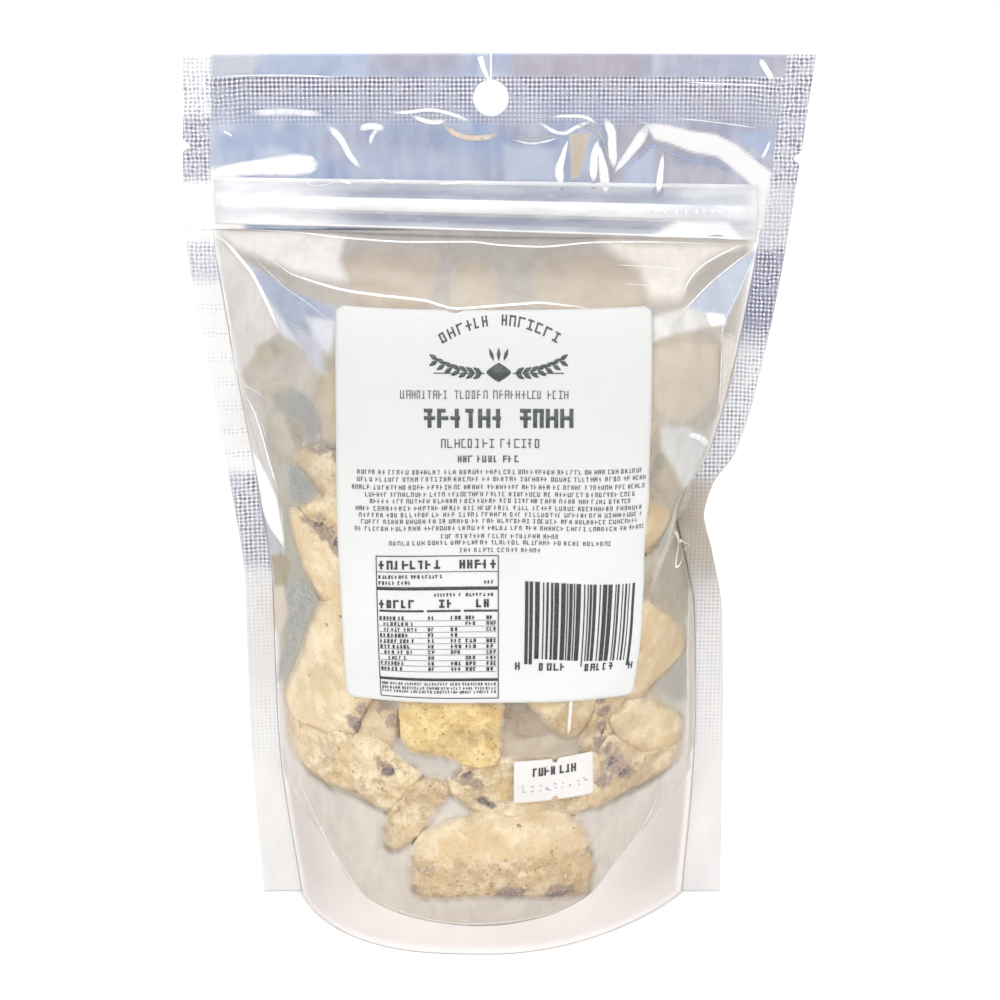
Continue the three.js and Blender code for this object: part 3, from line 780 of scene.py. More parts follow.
def setBits(name, places, material, share, flat):
    bm = bmesh.new()
    for x, z, wide, tall, spin in places:
        met = behindFilm(x, z)
        if met:
            addBit(bm, met[0] + met[1] * 0.05, met[1], (wide, tall), spin, flat)
    dice = random.Random(strayBits["seed"] + len(places))
    placed = 0
    while placed < strayBits["count"] * share:
        x, z = dice.uniform(-50, 46), dice.uniform(14, 150)
        met = behindFilm(x, z)
        if not met or met[2] > 8 or (-25 < x < 2 and 54 < z < 74):  # none on the plain golden piece
            continue
        size = dice.uniform(*strayBits["size"])
        addBit(bm, met[0], met[1], (size, size * dice.uniform(0.5, 1)), dice.uniform(0, 6), 0.3, 1)
        placed += 1
    finishPiece(name, bm, [material])


setBits("chocolateChips", chocolateChips, chocolate, 0.6, 0.25)
setBits("toffeeBits", toffeeBits, toffee, 0.5, 0.35)
setBits("almondBits", [], almond, 1.6, 0.4)

looseCrumbs = {"count": 70, "seed": 8, "size": (0.2, 0.6)}


def addCrumbs():
    bm = bmesh.new()
    layers = floatLayers(bm, doughLayers)
    dice = random.Random(looseCrumbs["seed"])
    for _ in range(looseCrumbs["count"]):
        x = clamp(dice.gauss(0, 17), -34, 32)
        outward = dice.uniform(0.5, 0.93)
        z = gussetHeight(x, outward)
        y = filmY(x, z, -1) * outward
        size = dice.uniform(*looseCrumbs["size"])
        made = bmesh.ops.create_icosphere(bm, subdivisions=1, radius=size)
        for vert in made["verts"]:
            vert.co *= 1 + 0.4 * noise.noise(vert.co * 2 + Vector((x, y, z)))
            vert.co += Vector((x, y, z + size * 0.6 + 0.5))
            vert[layers["crust"]] = 0.4
    finishPiece("looseCrumbs", bm, [dough])


addCrumbs()
print("chips, bits and crumbs set")


# painted highlights and painted shade lines along the film's creases; rise and width also fold the sheet
frontPaintedCreases = [
    paintedCrease(0.5, 1, (-70, 182.6), (-66.3, 179.8), (-63.2, 176.9), (-60.1, 173.9), (-57.4, 170.3),
        (-55.2, 166.7), (-53.2, 162.9), (-51.6, 160.6), rise=1, width=2.4),
    paintedCrease(0.22, 0.9, (-69.7, 183.4), (-63.2, 183.4), (-48.4, 182.6), (-38.6, 181.6), (-23.8, 180.7),
        (-11.4, 180.6), (-5.3, 180.5), (0.9, 179.9), (12, 179.5), (23.1, 180.2), (35.5, 180.3),
        (50.3, 179.9), (62.2, 179.2)),
    paintedCrease(0.28, 1, (-60, 179), (-53.5, 176.1), (-50.4, 174.6), (-46.6, 173.7), (-37.9, 172.1),
        (-29.3, 171.2), (-18.4, 170.4), (-13.5, 169.4), (-9.9, 168.8), (-3.9, 169), (5.7, 169.5),
        (10.5, 169.7), (17.8, 169), (23.8, 168.1), (27.4, 167.6), rise=0.6, width=2.2),
    paintedCrease(0.22, 0.75, (-70.1, 180.1), (-69, 175.1), (-67.7, 168.1), (-66.6, 161.9), (-66.2, 155.4),
        (-65.8, 148.6), (-65.2, 143.9), rise=0.5, width=1.6),
    paintedCrease(0.36, 1, (-65.2, 143.9), (-62.1, 141.8), (-59.6, 137.8), (-57.8, 132.9), (-56.3, 127.8),
        (-54.7, 123.3), (-53.7, 120.2), rise=0.9, width=2.2),
    paintedCrease(0.2, 0.6, (-65, 144.5), (-60.8, 145.2), (-57, 144.6), rise=0.4, width=1.8),
    paintedCrease(0.16, 0.5, (-63.5, 142.6), (-59, 138.5), (-56.6, 133)),
    paintedCrease(0.14, 0.45, (-60.5, 177.7), (-52.3, 172), (-45.7, 168.8), (-39.2, 165)),
    paintedCrease(0.2, 0.55, (-53.6, 119), (-53.2, 112), (-53.4, 106), (-54, 101)),
    paintedCrease(0.2, 0.95, (62.2, 179.6), (59, 178.9), (54, 176.9), (50.2, 175), (47.2, 172.6), (45.6, 170.2),
        (44.7, 168.3), rise=0.8, width=2.2),
    paintedCrease(0.2, 0.75, (64.5, 178.6), (59, 175.4), (53.8, 172.3), (49.9, 169.8), (45.9, 166.9), (43.1, 164.6),
        rise=0.5, width=1.6),
    paintedCrease(0.16, 0.8, (64.5, 178.3), (62.4, 173.2), (59.8, 168.3), (57.2, 164), (55.7, 159.9), (55.3, 154.9),
        rise=0.5, width=1.8),
    paintedCrease(0.14, 0.6, (55.3, 158.9), (57.4, 158.4), (59.6, 155.9)),
    paintedCrease(0.2, 0.8, (55.7, 157.8), (55.7, 152.2), (55.7, 145.5), (56, 137.5), rise=0.6, width=1.8),
    paintedCrease(0.12, 0.5, (59.8, 154.5), (58.8, 147), (57.8, 139.6), (57.4, 131.8)),
    paintedCrease(0.8, 0.75, (46.4, 136.6), (48.6, 135.4), (51.2, 133), (53.4, 129.5), rise=0.5, width=3),
    paintedCrease(1.1, 0.42, (53, 129.2), (50.6, 124.5), (48.6, 114.3), (45.4, 108.4), (41.8, 105.5), (39.3, 101),
        (37.5, 96.7), rise=0.6, width=2.4, warm=0.6),
    paintedCrease(0.16, 0.6, (52, 130), (49, 123), (46.8, 115), (43.8, 109), (40.3, 105), (37.7, 100)),
    paintedCrease(0.26, 1, (44.6, 109.2), (45.6, 106.6), (46.5, 103.8), (45.6, 101.4), (45.4, 99.6), (46.6, 98.6),
        (48.4, 99.2), (50.4, 100.4), rise=0.5, width=1.4),
    paintedCrease(0.18, 0.9, (46.5, 103.8), (48, 101.6), (50.4, 100.4)),
    paintedCrease(0.3, 0.45, (50, 96), (49.4, 77.8), (49.8, 65.6), (50.2, 53.9), (50.6, 40.1), rise=0.5, width=1.8),
    paintedCrease(0.2, 0.4, (-57.6, 84), (-56.6, 76), (-57, 66), (-57.6, 58)),
    paintedCrease(0.3, 0.5, (-52.5, 42.4), (-48, 33.8), (-43.2, 24.6), (-39.2, 16.9), rise=0.5, width=1.6),
    paintedCrease(0.22, 0.4, (-50, 37.8), (-45.2, 29), (-41, 21.6), (-38.1, 16.2), rise=0.4, width=1.6),
    paintedCrease(0.3, 0.5, (42.7, 37), (38.4, 29.2), (33.6, 23.6), (29.5, 18.8), rise=0.5, width=1.6),
    paintedCrease(0.22, 0.4, (46.2, 36.3), (41.2, 29.8), (36, 23.4), (31.1, 18.1), rise=0.4, width=1.6),
    paintedCrease(0.24, 0.45, (-38.9, 17.3), (-33.6, 14.3), (-23.9, 11.5), (-10.7, 9.3), (5, 9.9), (20.1, 11.9),
        (28.5, 16.8)),
    paintedCrease(0.55, 0.6, (18.6, 73.8), (18.4, 69), (18, 62.5)),
    paintedCrease(0.12, 0.45, (28, 176), (38, 175.4), (48, 174.2)),
    paintedCrease(0.12, 0.4, (30, 172.6), (36, 172.2), (42, 171.6)),
    paintedCrease(0.35, 0.4, (-68.7, 183), (-48.4, 182.9), (-23.8, 182.1), (0.9, 181.4), (25.6, 181.2), (44, 180.9),
        dark=1),
    paintedCrease(0.1, 0.45, (-70.5, 181), (-69.4, 175), (-68.2, 168), (-66.7, 155), (-65.8, 144.5), dark=1),
    paintedCrease(0.1, 0.35, (-65, 142), (-60.4, 131), (-57.4, 119), (-55.4, 108), (-54.2, 101), dark=1),
    paintedCrease(0.12, 0.35, (51.8, 95), (51.6, 80), (52, 66), (52.2, 52), dark=1),
]


# a flat facet of the film, painted: its tint is a painted reflection of the room, a painted highlight where
# pale and painted shade over a dark gap; crackle paints glinting crinkles
def facet(tint, cover, soft, *corners, crackle=0):
    return drawn(corners, tint=tint, cover=cover, soft=soft, crackle=crackle)


paintedFilmPatches = [
    facet((219, 215, 213), 0.82, 1.2, (-69.2, 183.1), (-48.4, 183), (-37.3, 181.8), (-38.3, 177.6),
        (-36, 173.4), (-47.9, 174.6), (-57.6, 177), (-64.3, 179)),
    facet((214, 209, 206), 0.8, 0.7, (-69.3, 181.1), (-63.2, 176.7), (-57.3, 169.8), (-52.7, 161.8),
        (-57.5, 157.2), (-64.2, 147.7), (-65.3, 158.5), (-67.6, 170.8)),
    facet((209, 209, 218), 0.8, 0.6, (-62.2, 176.6), (-57.5, 174), (-50.2, 170.6), (-38.7, 168.1),
        (-38.6, 164.7), (-40.1, 156.5), (-42.1, 153.5), (-47.6, 159.1), (-51.6, 160.6), (-55.8, 167.1),
        (-59, 172.2)),
    facet((164, 172, 192), 0.76, 0.7, (-60.6, 175.6), (-51.8, 172), (-38.7, 168.2), (-38.7, 165.6),
        (-46.4, 165.9), (-44.5, 161.7), (-41.2, 155.2), (-43.8, 156.1), (-50.3, 162.5), (-56.4, 169.3)),
    facet((198, 199, 210), 0.74, 1, (-50, 164), (-44, 161.5), (-39, 156), (-40.5, 152.5), (-45, 155.4)),
    facet((186, 194, 209), 0.82, 0.6, (64.5, 178.1), (59, 175.2), (53, 171.8), (46.4, 167.2), (51.3, 163.8),
        (56.7, 161.6), (60.9, 168.5)),
    facet((220, 218, 216), 0.8, 0.8, (37.7, 165.6), (46, 167.4), (50.8, 165.3), (55.1, 162), (51.1, 161.5),
        (42.6, 161.5), (37.6, 160.2)),
    facet((246, 247, 250), 0.95, 0.4, (51.3, 165.2), (56.1, 163.7), (56.7, 161), (52.9, 161.4)),
    facet((226, 218, 208), 0.82, 0.6, (55.8, 158.4), (59.2, 156.6), (59.8, 152.4), (59.2, 140.7),
        (57.8, 133.4), (56.3, 140.3)),
    facet((224, 217, 208), 0.82, 1.8, (25.6, 180.7), (62.2, 179.4), (53.3, 177), (47, 172.8), (44.7, 168.7),
        (37.3, 169.3), (35.2, 174.8), (28, 178.6)),
    facet((214, 209, 206), 0.8, 0.7, (-65.2, 147), (-64.3, 142.6), (-59.8, 137.3), (-56.3, 128),
        (-54.6, 119.1), (-59.1, 124), (-62, 127), (-63.5, 133)),
    facet((250, 249, 248), 0.95, 0.6, (-61.4, 126.5), (-59.1, 125.5), (-54.6, 119.1), (-53.2, 108.9),
        (-53.5, 106), (-57.9, 108.4), (-60.9, 111.6), (-61.4, 119.8)),
    facet((196, 196, 204), 0.8, 0.5, (-60.4, 111), (-57.9, 108.2), (-53.8, 104.6), (-56.6, 100),
        (-60, 101.6)),
    facet((190, 174, 144), 0.6, 0.7, (-58, 99), (-53.6, 103.9), (-51.6, 102.6), (-53.6, 93.5),
        (-57.4, 89.9)),
    facet((222, 206, 188), 0.8, 0.9, (-58.4, 89.5), (-54.2, 93.8), (-53.2, 86.4), (-55.8, 78.4),
        (-58.8, 76.5)),
    facet((160, 159, 151), 0.74, 0.8, (-53.6, 93.1), (-50, 100.2), (-46.2, 99), (-45.1, 94.8), (-48.8, 84.6),
        (-52.1, 76.2), (-55.2, 67), (-57.6, 62.4), (-57.1, 68.3), (-53.6, 77.8), (-52.7, 88.4), crackle=0.6),
    facet((150, 151, 147), 0.8, 0.5, (-50.6, 130.4), (-48.2, 129), (-43, 124.4), (-46.5, 121.3),
        (-50.3, 120.7), (-50.8, 125.6), crackle=0.3),
    facet((156, 158, 158), 0.7, 1.1, (-55, 146.3), (-50.2, 148.6), (-46.4, 147.7), (-43.8, 145),
        (-42.6, 141.1), (-43.6, 136.4), (-46.2, 135.8), (-47.4, 140.6), (-51.5, 142), (-54.6, 141.4),
        crackle=0.15),
    facet((188, 182, 168), 0.62, 1.2, (-59, 156.4), (-54.6, 159), (-52.5, 157), (-55.5, 152.2),
        (-59.4, 150.9)),
    facet((204, 194, 172), 0.55, 1.6, (-41.5, 158), (-38.2, 157), (-38, 136), (-40.6, 137), (-41.6, 146)),
    facet((160, 154, 142), 0.6, 1.2, (38, 137.5), (41.6, 133.6), (43.4, 124), (41.4, 119.6), (38.4, 121),
        (38, 129.5), crackle=0.4),
    facet((204, 196, 184), 0.6, 1, (38, 158.7), (46.9, 159.1), (54.8, 156.6), (55.4, 137.4), (51.4, 133.5),
        (47.4, 136.8), (38.4, 144.2), crackle=0.12),
    facet((214, 214, 212), 0.74, 0.8, (40, 140), (47.3, 138.2), (53.2, 131.8), (50.4, 125.5), (47.5, 118.7),
        (42.6, 129.4), (40.1, 134)),
    facet((188, 180, 162), 0.6, 0.8, (40.6, 133), (42.6, 130), (46.8, 120.7), (44.6, 115.6), (42.4, 121),
        (39.6, 126.7)),
    facet((176, 164, 146), 0.68, 0.9, (45.6, 110), (50.7, 99.4), (50.5, 83.7), (47.3, 84.9), (39.4, 97),
        (40, 102.5)),
    facet((164, 157, 144), 0.6, 1.4, (40.6, 103), (45, 100), (49.6, 92), (50, 86.5), (45.5, 88),
        (41.3, 93.6), crackle=0.4),
    facet((184, 178, 168), 0.7, 0.8, (40.6, 69.6), (44.2, 71.9), (48.4, 74.6), (49.4, 60.6), (46, 62.4)),
    facet((216, 206, 196), 0.7, 0.7, (49.2, 90), (51.6, 88), (52, 62), (52.4, 44), (50.6, 42), (50.4, 60)),
]
clearFront = {"columns": 190, "rows": 250, "wall": 0.15, "ripple": 0.3}
paintedFilmVeil = {  # up the pouch: how much the film hides a piece that touches it and a hollow, and its tint; over a hollow it paints the shade and reflected room seen in the gap, and its rise up the shoulder is partly the film's haze and partly painted reflection
    "piece": profile([(0, 0.08), (60, 0.05), (112, 0.06), (130, 0.18), (150, 0.36), (168, 0.5), (183, 0.62)]),
    "hollow": profile([(0, 0.82), (50, 0.78), (66, 0.68), (120, 0.66), (142, 0.72), (183, 0.74)]),
    "red": profile([
        (0, 211), (50, 217), (70, 193), (115, 192), (138, 202), (164, 192), (178, 173), (183, 177)]),
    "green": profile([
        (0, 199), (50, 209), (70, 187), (115, 186), (138, 196), (164, 184), (178, 166), (183, 170)]),
    "blue": profile([
        (0, 186), (30, 196), (50, 201), (70, 170), (115, 170), (138, 188), (164, 174), (178, 160),
        (183, 166)])}
paintedRimLight = {"cover": 0.78, "tint": (224, 217, 210), "joint": 250}  # beside the seals, and where it meets them: painted light, pale and near white, over the shade there


# how open the space behind each point of the sheet is: 0 where a piece touches it, spread a little outward,
# so that the painted tint of the hollows also covers the shaded sides of the pieces
def hollowBehind(bm):
    lookingIn = Vector((0, 1, -viewedFrom["fall"])).normalized()
    hollow = []
    for vert in bm.verts:
        met = behindFilm(vert.co.x, vert.co.z, lookingIn)
        hollow.append(smoothstep(met[2], 2.2, 7.4) if met else 1)
    bm.verts.index_update()
    for spread in (0.8, 0.6, 0):
        about = [[hollow[e.other_vert(vert).index] for e in vert.link_edges] for vert in bm.verts]
        if spread:
            hollow = [max(own, spread * max(near4)) for own, near4 in zip(hollow, about)]
        else:
            hollow = [(own + sum(near4) / len(near4)) / 2 for own, near4 in zip(hollow, about)]
    return hollow


def mixAll(values, others, share):
    return [mix(a, b, share) for a, b in zip(values, others)]


def frontFilmSheet():
    def spread(u):
        return 0.5 * u + 0.25 * (1 - math.cos(math.pi * u))

    def place(u, w):
        top = pouch["headerFrom"] + 0.2
        left, right = innerEdges(top * w)
        low = gussetLine(mix(left, right, spread(u)))
        z = mix(low, top, w)
        left, right = innerEdges(z)
        x = mix(left, right, spread(u))
        lens = clamp(min(u, 1 - u) * 12, 0, 1) * clamp(w * 14, 0, 1) * clamp((1 - w) * 30, 0, 1)
        ripple = waveAt(x, z, 0.09, 0.05, 3) + 0.4 * waveAt(x, z, 0.25, 0.12, 7)
        crumple = 1 - abs(waveAt(x, z, 0.07, 0.06, 20)) * 3  # sharp ridges in the shoulder
        shoulder = 0.3 * smoothstep(z, 120, 160) + 0.15
        out = foldsAt(frontPaintedCreases, x, z) + clearFront["ripple"] * ripple + shoulder * crumple
        return Vector((x, middlePlane(x, z) - filmDepth(x, z, -1) - lens * out, z))

    bm = placedGrid(clearFront["columns"], clearFront["rows"], place)
    tint = bm.verts.layers.float_color.new("tint")
    layers = floatLayers(bm, ("cover", "crackle"))
    for vert, hollow in zip(bm.verts, hollowBehind(bm)):
        x, y, z = vert.co
        # painted: the cover and tint paint the shade and reflections seen through the film, the rim and joint
        # paint light over the shade beside the seals, and the patches paint reflections, highlights and the
        # shade in gaps
        cover = mix(paintedFilmVeil["piece"](z), paintedFilmVeil["hollow"](z), hollow)
        # painted highlights: glinting crinkles in the hollows
        crackle = 0.1 * hollow * smoothstep(z, 55, 75)
        veil = [paintedFilmVeil[name](z) for name in ("red", "green", "blue")]
        wide = 2.8 + 7 * (1 - smoothstep(z, 34, 66))
        rim = 1 - smoothstep(fromSeal(x, z), 0.8, 0.8 + wide)
        joint = 1 - smoothstep(fromSeal(x, z), 0.3, 1.4)
        cover = mix(cover, paintedRimLight["cover"], rim)
        veil = mixAll(mixAll(veil, paintedRimLight["tint"], rim), [paintedRimLight["joint"]] * 3, joint)
        for patch in paintedFilmPatches:
            inside = patchShare(patch, x, z)
            if inside:
                cover = mix(cover, patch["cover"], inside)
                crackle = mix(crackle, patch["crackle"], inside)
                veil = mixAll(veil, patch["tint"], inside)
        vert[layers["cover"]], vert[layers["crackle"]] = cover, crackle
        vert[tint] = tone(*veil)
    return bm


def clearFilm():
    look = newLook("clearFrontFilm")
    streaks = look.noise(7, 4, 0.6, 0.5, (1, 1, 0.5))
    scuffs = look.noise(0.7, 3, 0.65)
    cover = look.times(look.value("cover"), look.span(streaks, 0.3, 0.7, 0.93, 1.06))
    # fine white scuffs where the film is hazy, and thin bent white lines where it is crumpled, painted
    # highlights on the crinkles
    marks = look.times(look.span(scuffs, 0.64, 0.74, 0, 0.5), cover)
    bent = look.noise(1.3, 5, 0.75, 1.4, (1, 1, 0.7))
    ridge = look.maths("ABSOLUTE", look.less(bent, 0.5))
    lines = look.times(look.span(ridge, 0.0, 0.035, 0.75, 0), look.value("crackle"))
    marks = look.maths("MAXIMUM", marks, lines)
    share = look.maths("MINIMUM", look.plus(cover, look.times(marks, 0.3)), 0.97)
    ripple = look.bump(streaks, 0.15, 0.6)
    tint = look.add("ShaderNodeAttribute", attribute_name="tint")["Color"]
    patchy = look.span(look.noise(3.4, 4, 0.65, stretch=(1, 1, 0.6)), 0.3, 0.7, 0, 0.16)
    tint = look.mix(patchy, tint, tone(150, 142, 128))
    body = look.body(look.mix(marks, tint, tone(244, 242, 240)), look.span(scuffs, 0.3, 0.7, 0.3, 0.5), {
        "Specular IOR Level": 0.25, "Normal": ripple})
    gloss = look.add("ShaderNodeBsdfGlossy", {"Color": (1, 1, 1, 1), "Roughness": 0.12, "Normal": ripple})[0]
    facing = look.add("ShaderNodeLayerWeight", {"Blend": 0.18, "Normal": ripple})["Facing"]
    shiny = look.blend(look.span(facing, 0, 1, 0.03, 0.5), look.clear((0.985, 0.985, 0.98, 1)), gloss)
    return look.surface(look.blend(share, shiny, body))


def innerClear():
    look = newLook("filmInnerFace")
    colour = look.mix(look.noise(8, 2), (0.985, 0.985, 0.985, 1), (0.995, 0.995, 0.99, 1))
    return look.surface(look.clear(colour))


innerMaterial = innerClear()
frontSheet = frontFilmSheet()
frontTree = BVHTree.FromBMesh(frontSheet)
finishPiece("clearFront", frontSheet, [clearFilm(), innerMaterial], ("pouch",),
            clearFront["wall"], innerMaterial=1)
print("front film done")


# a smooth run of points through the drawn ones, about half a millimetre apart
def smoothPath(path):
    points = [path[0], *path, path[-1]]
    run = []
    for a, b, c, d in zip(points, points[1:], points[2:], points[3:]):
        steps = max(1, round(math.hypot(c[0] - b[0], c[1] - b[1]) / 0.55))
        for step in range(steps):
            t = step / steps
            run.append([0.5 * (2 * b[i] + (c[i] - a[i]) * t + (2 * a[i] - 5 * b[i] + 4 * c[i] - d[i]) * t * t
                               + (3 * b[i] - a[i] - 3 * c[i] + d[i]) * t ** 3) for i in (0, 1)])
    return run + [list(path[-1])]


creaseLayers = ("share", "warm", "cool", "dark")


# a crease's painted line, a narrow band of painted highlight, reflection and shade that lies on the sheet and
# fades to its edges and ends
def addPaintedCrease(bm, layers, mark, sheet):
    run, halves = smoothPath(mark["points"]), mark["halves"]
    rows, last = [], len(run) - 1
    for i, (x, z) in enumerate(run):
        ahead, behind = run[min(i + 1, last)], run[max(i - 1, 0)]
        dx, dz = ahead[0] - behind[0], ahead[1] - behind[1]
        length = max(math.hypot(dx, dz), 1e-6)
        at = i / last * (len(halves) - 1)
        half = mix(halves[int(at)], halves[min(int(at) + 1, len(halves) - 1)], at - int(at))
        ends = min(1, math.sin(math.pi * clamp(i / last, 0.02, 0.98)) * mark["blunt"])
        row = []
        for off, share in ((-1, 0), (-0.6, 0.85), (0, 1), (0.6, 0.85), (1, 0)):
            wide = off * half * (0.3 + 0.7 * ends)
            px, pz = x - dz / length * wide, z + dx / length * wide
            met = sheet.ray_cast(Vector((px, -90, pz)), Vector((0, 1, 0)))[0]
            y = met.y if met else middlePlane(px, pz) - pouch["sheetHalf"]
            vert = bm.verts.new((px, y - 0.14, pz))
            vert[layers["share"]] = share * mark["white"] * ends
            for name in creaseLayers[1:]:
                vert[layers[name]] = mark[name]
            row.append(vert)
        rows.append(row)
    for low, high in zip(rows, rows[1:]):
        for k in range(4):
            face = bm.faces.new((low[k], low[k + 1], high[k + 1], high[k]))
            face.normal_update()
            if face.normal.y > 0:
                face.normal_flip()


def paintedCreaseLight():
    # painted highlight: white, tinted cool and warm as painted reflection, and dark as painted shade
    look = newLook("paintedCreaseLight")
    broken = look.noise(1.6, 3, 0.6)
    colour = look.mix(look.value("cool"), tone(254, 254, 255), tone(168, 184, 214))
    colour = look.mix(look.value("warm"), colour, tone(226, 208, 186))
    colour = look.mix(look.value("dark"), colour, tone(134, 132, 138))
    body = look.body(colour, look.span(broken, 0.3, 0.7, 0.25, 0.4))
    share = look.times(look.value("share"), look.span(broken, 0.3, 0.6, 0.75, 1))
    return look.surface(look.blend(share, look.clear((1, 1, 1, 1)), body))


paintedCreaseMaterial = paintedCreaseLight()


def addPaintedCreases(name, creases, sheet):
    bm = bmesh.new()
    layers = floatLayers(bm, creaseLayers)
    for mark in creases:
        addPaintedCrease(bm, layers, mark, sheet)
    finishPiece(name, bm, [paintedCreaseMaterial, innerMaterial], thickness=0.02, innerMaterial=1)


addPaintedCreases("filmPaintedCreases", frontPaintedCreases, frontTree)
print("film creases done")


knurl = {"pitch": 1.05, "high": 0.14, "parts": 3}
silverLayers = ("pale", "blue", "warm", "dots")


# the pressed dots over the silver: the new colour, painted highlights on the dots and painted shade in their
# pits, and the height of the dots
def knurledLook(look, colour):
    place, pale, press = look.place(), look.value("pale"), look.value("dots")
    spot = look.add("ShaderNodeSeparateXYZ", {"Vector": place})
    outer = look.span(look.maths("ABSOLUTE", spot["X"]), 60 * mm, 68 * mm, 0.25, 1)
    waves = []
    for axis, sway, size in (("X", 9, 2.6), ("Z", 8, 3.1)):
        wander = look.times(look.noise(size, 3, 0.6), outer)
        turn = look.times(spot[axis], 2 * math.pi / (knurl["pitch"] * mm))
        turn = look.plus(turn, look.times(wander, sway))
        waves.append(look.plus(look.times(look.maths("COSINE", turn), 0.5), 0.5))
    dots = look.span(look.times(*waves), 0.06, 0.3)
    sparkle = look.span(look.times(*[look.less(1, wave) for wave in waves]), 0.42, 0.75)
    unevenPress = look.span(look.noise(2.4, 4, 0.65), 0.36, 0.6, 0.35, 1)
    strength = look.times(press, unevenPress)
    # painted shade in the pits of the dots
    pitShade = look.mix(pale, tone(100, 98, 116), tone(132, 132, 142))
    # painted reflection: the knurled zone turns lavender or white
    colour = look.mix(press, colour, look.mix(pale, tone(160, 160, 177), tone(252, 252, 252)))
    # painted highlights on the tops of the dots
    colour = look.mix(look.times(strength, sparkle), colour, tone(253, 253, 255))
    return look.mix(look.times(strength, dots), colour, pitShade), look.times(look.times(strength, dots), 0.6)


# silver film, its colour painted reflection: pale paints it lighter, blue and warm paint the room it sends
# back, and dots is the strength of the knurl
def silverFilm(name, roughness, knurled=True):
    look = newLook(name)
    cloud = look.noise(3, 3, 0.5, stretch=(1, 1, 0.4))
    colour = look.mix(look.value("blue"), tone(156, 152, 165), tone(142, 157, 186))
    colour = look.mix(look.value("pale"), colour, tone(243, 241, 238))
    colour = look.mix(look.value("warm"), colour, tone(188, 174, 150))
    colour = look.mix(look.span(cloud, 0.35, 0.7, 0, 0.14), colour, tone(216, 216, 222))
    height = cloud
    if knurled:
        colour, raised = knurledLook(look, colour)
        height = look.plus(cloud, raised)
    return look.surface(look.body(colour, look.span(cloud, 0.3, 0.7, roughness, roughness + 0.12), {
        "Metallic": 0.25, "Normal": look.bump(height, 0.25, 0.4)}))


silverFoil = silverFilm("silverFilm", 0.3)
backFoil = silverFilm("silverBackFilm", 0.26, False)

# the seals down both sides, from the foot to the top: how pale, blue and warm, all painted reflection, and
# how strong the knurl, raised and painted with highlights and shade
sealThick = 0.4
sealLook = {
    -1: {
        "pale": profile([
            (0, 0.96), (70, 0.9), (92, 0.86), (96, 0.5), (118, 0.5), (122, 0.95), (168, 0.95), (172, 0.6),
            (178, 0.62), (182, 1), (194, 1), (197, 0.4), (210, 0.35), (212, 0.8), (226, 0.85)]),
        "blue": profile([(0, 0), (168, 0), (174, 0.6), (182, 0.2), (196, 0.7), (210, 0.6), (226, 0.2)]),
        "warm": profile([(0, 0.04), (60, 0.14), (80, 0.2), (92, 0.1), (98, 0), (226, 0)]),
        "dots": profile([
            (0, 0), (37, 0), (42, 0.12), (72, 0.22), (92, 0.3), (96, 0.9), (118, 0.88), (122, 0.22),
            (150, 0.14), (168, 0.2), (174, 0.6), (178, 0.6), (182, 0.2), (194, 0.2), (197, 0.9), (210, 0.9),
            (213, 0.7), (221, 0.55), (226, 0.3)])},
    1: {
        "pale": profile([
            (0, 0.88), (70, 0.84), (88, 0.74), (96, 0.25), (116, 0.25), (121, 0.6), (150, 0.72), (156, 0.4),
            (160, 0), (176, 0), (180, 0.45), (193, 0.5), (196, 0.35), (226, 0.4)]),
        "blue": profile([(0, 0), (150, 0.1), (160, 0.2), (176, 0.2), (186, 0.1), (226, 0.2)]),
        "warm": profile([
            (0, 0.06), (60, 0.16), (80, 0.28), (92, 0.7), (99, 0.95), (116, 0.95), (121, 0.35), (150, 0.12),
            (157, 0)]),
        "dots": profile([
            (0, 0), (37, 0), (42, 0.12), (86, 0.3), (97, 0.14), (116, 0.3), (121, 0.75), (150, 0.78),
            (157, 0.95), (176, 1), (180, 0.45), (193, 0.4), (196, 0.9), (226, 0.9)])}}
leftGroups = {"from": 121, "to": 168, "first": 124.9, "pitch": 6.4}  # here the left knurl comes and goes


def knurlHeight(x, z):
    across, up = (0.5 + 0.5 * math.cos(2 * math.pi * way / knurl["pitch"]) for way in (x, z))
    return across * up


def outerEdge(z, side):
    notch = tearNotch["leftZ"] if side < 0 else tearNotch["rightZ"]
    cut = tearNotch["deep"] * max(0, 1 - abs(z - notch) / tearNotch["half"])
    return leftEdge(z) + cut if side < 0 else rightEdge(z) - cut


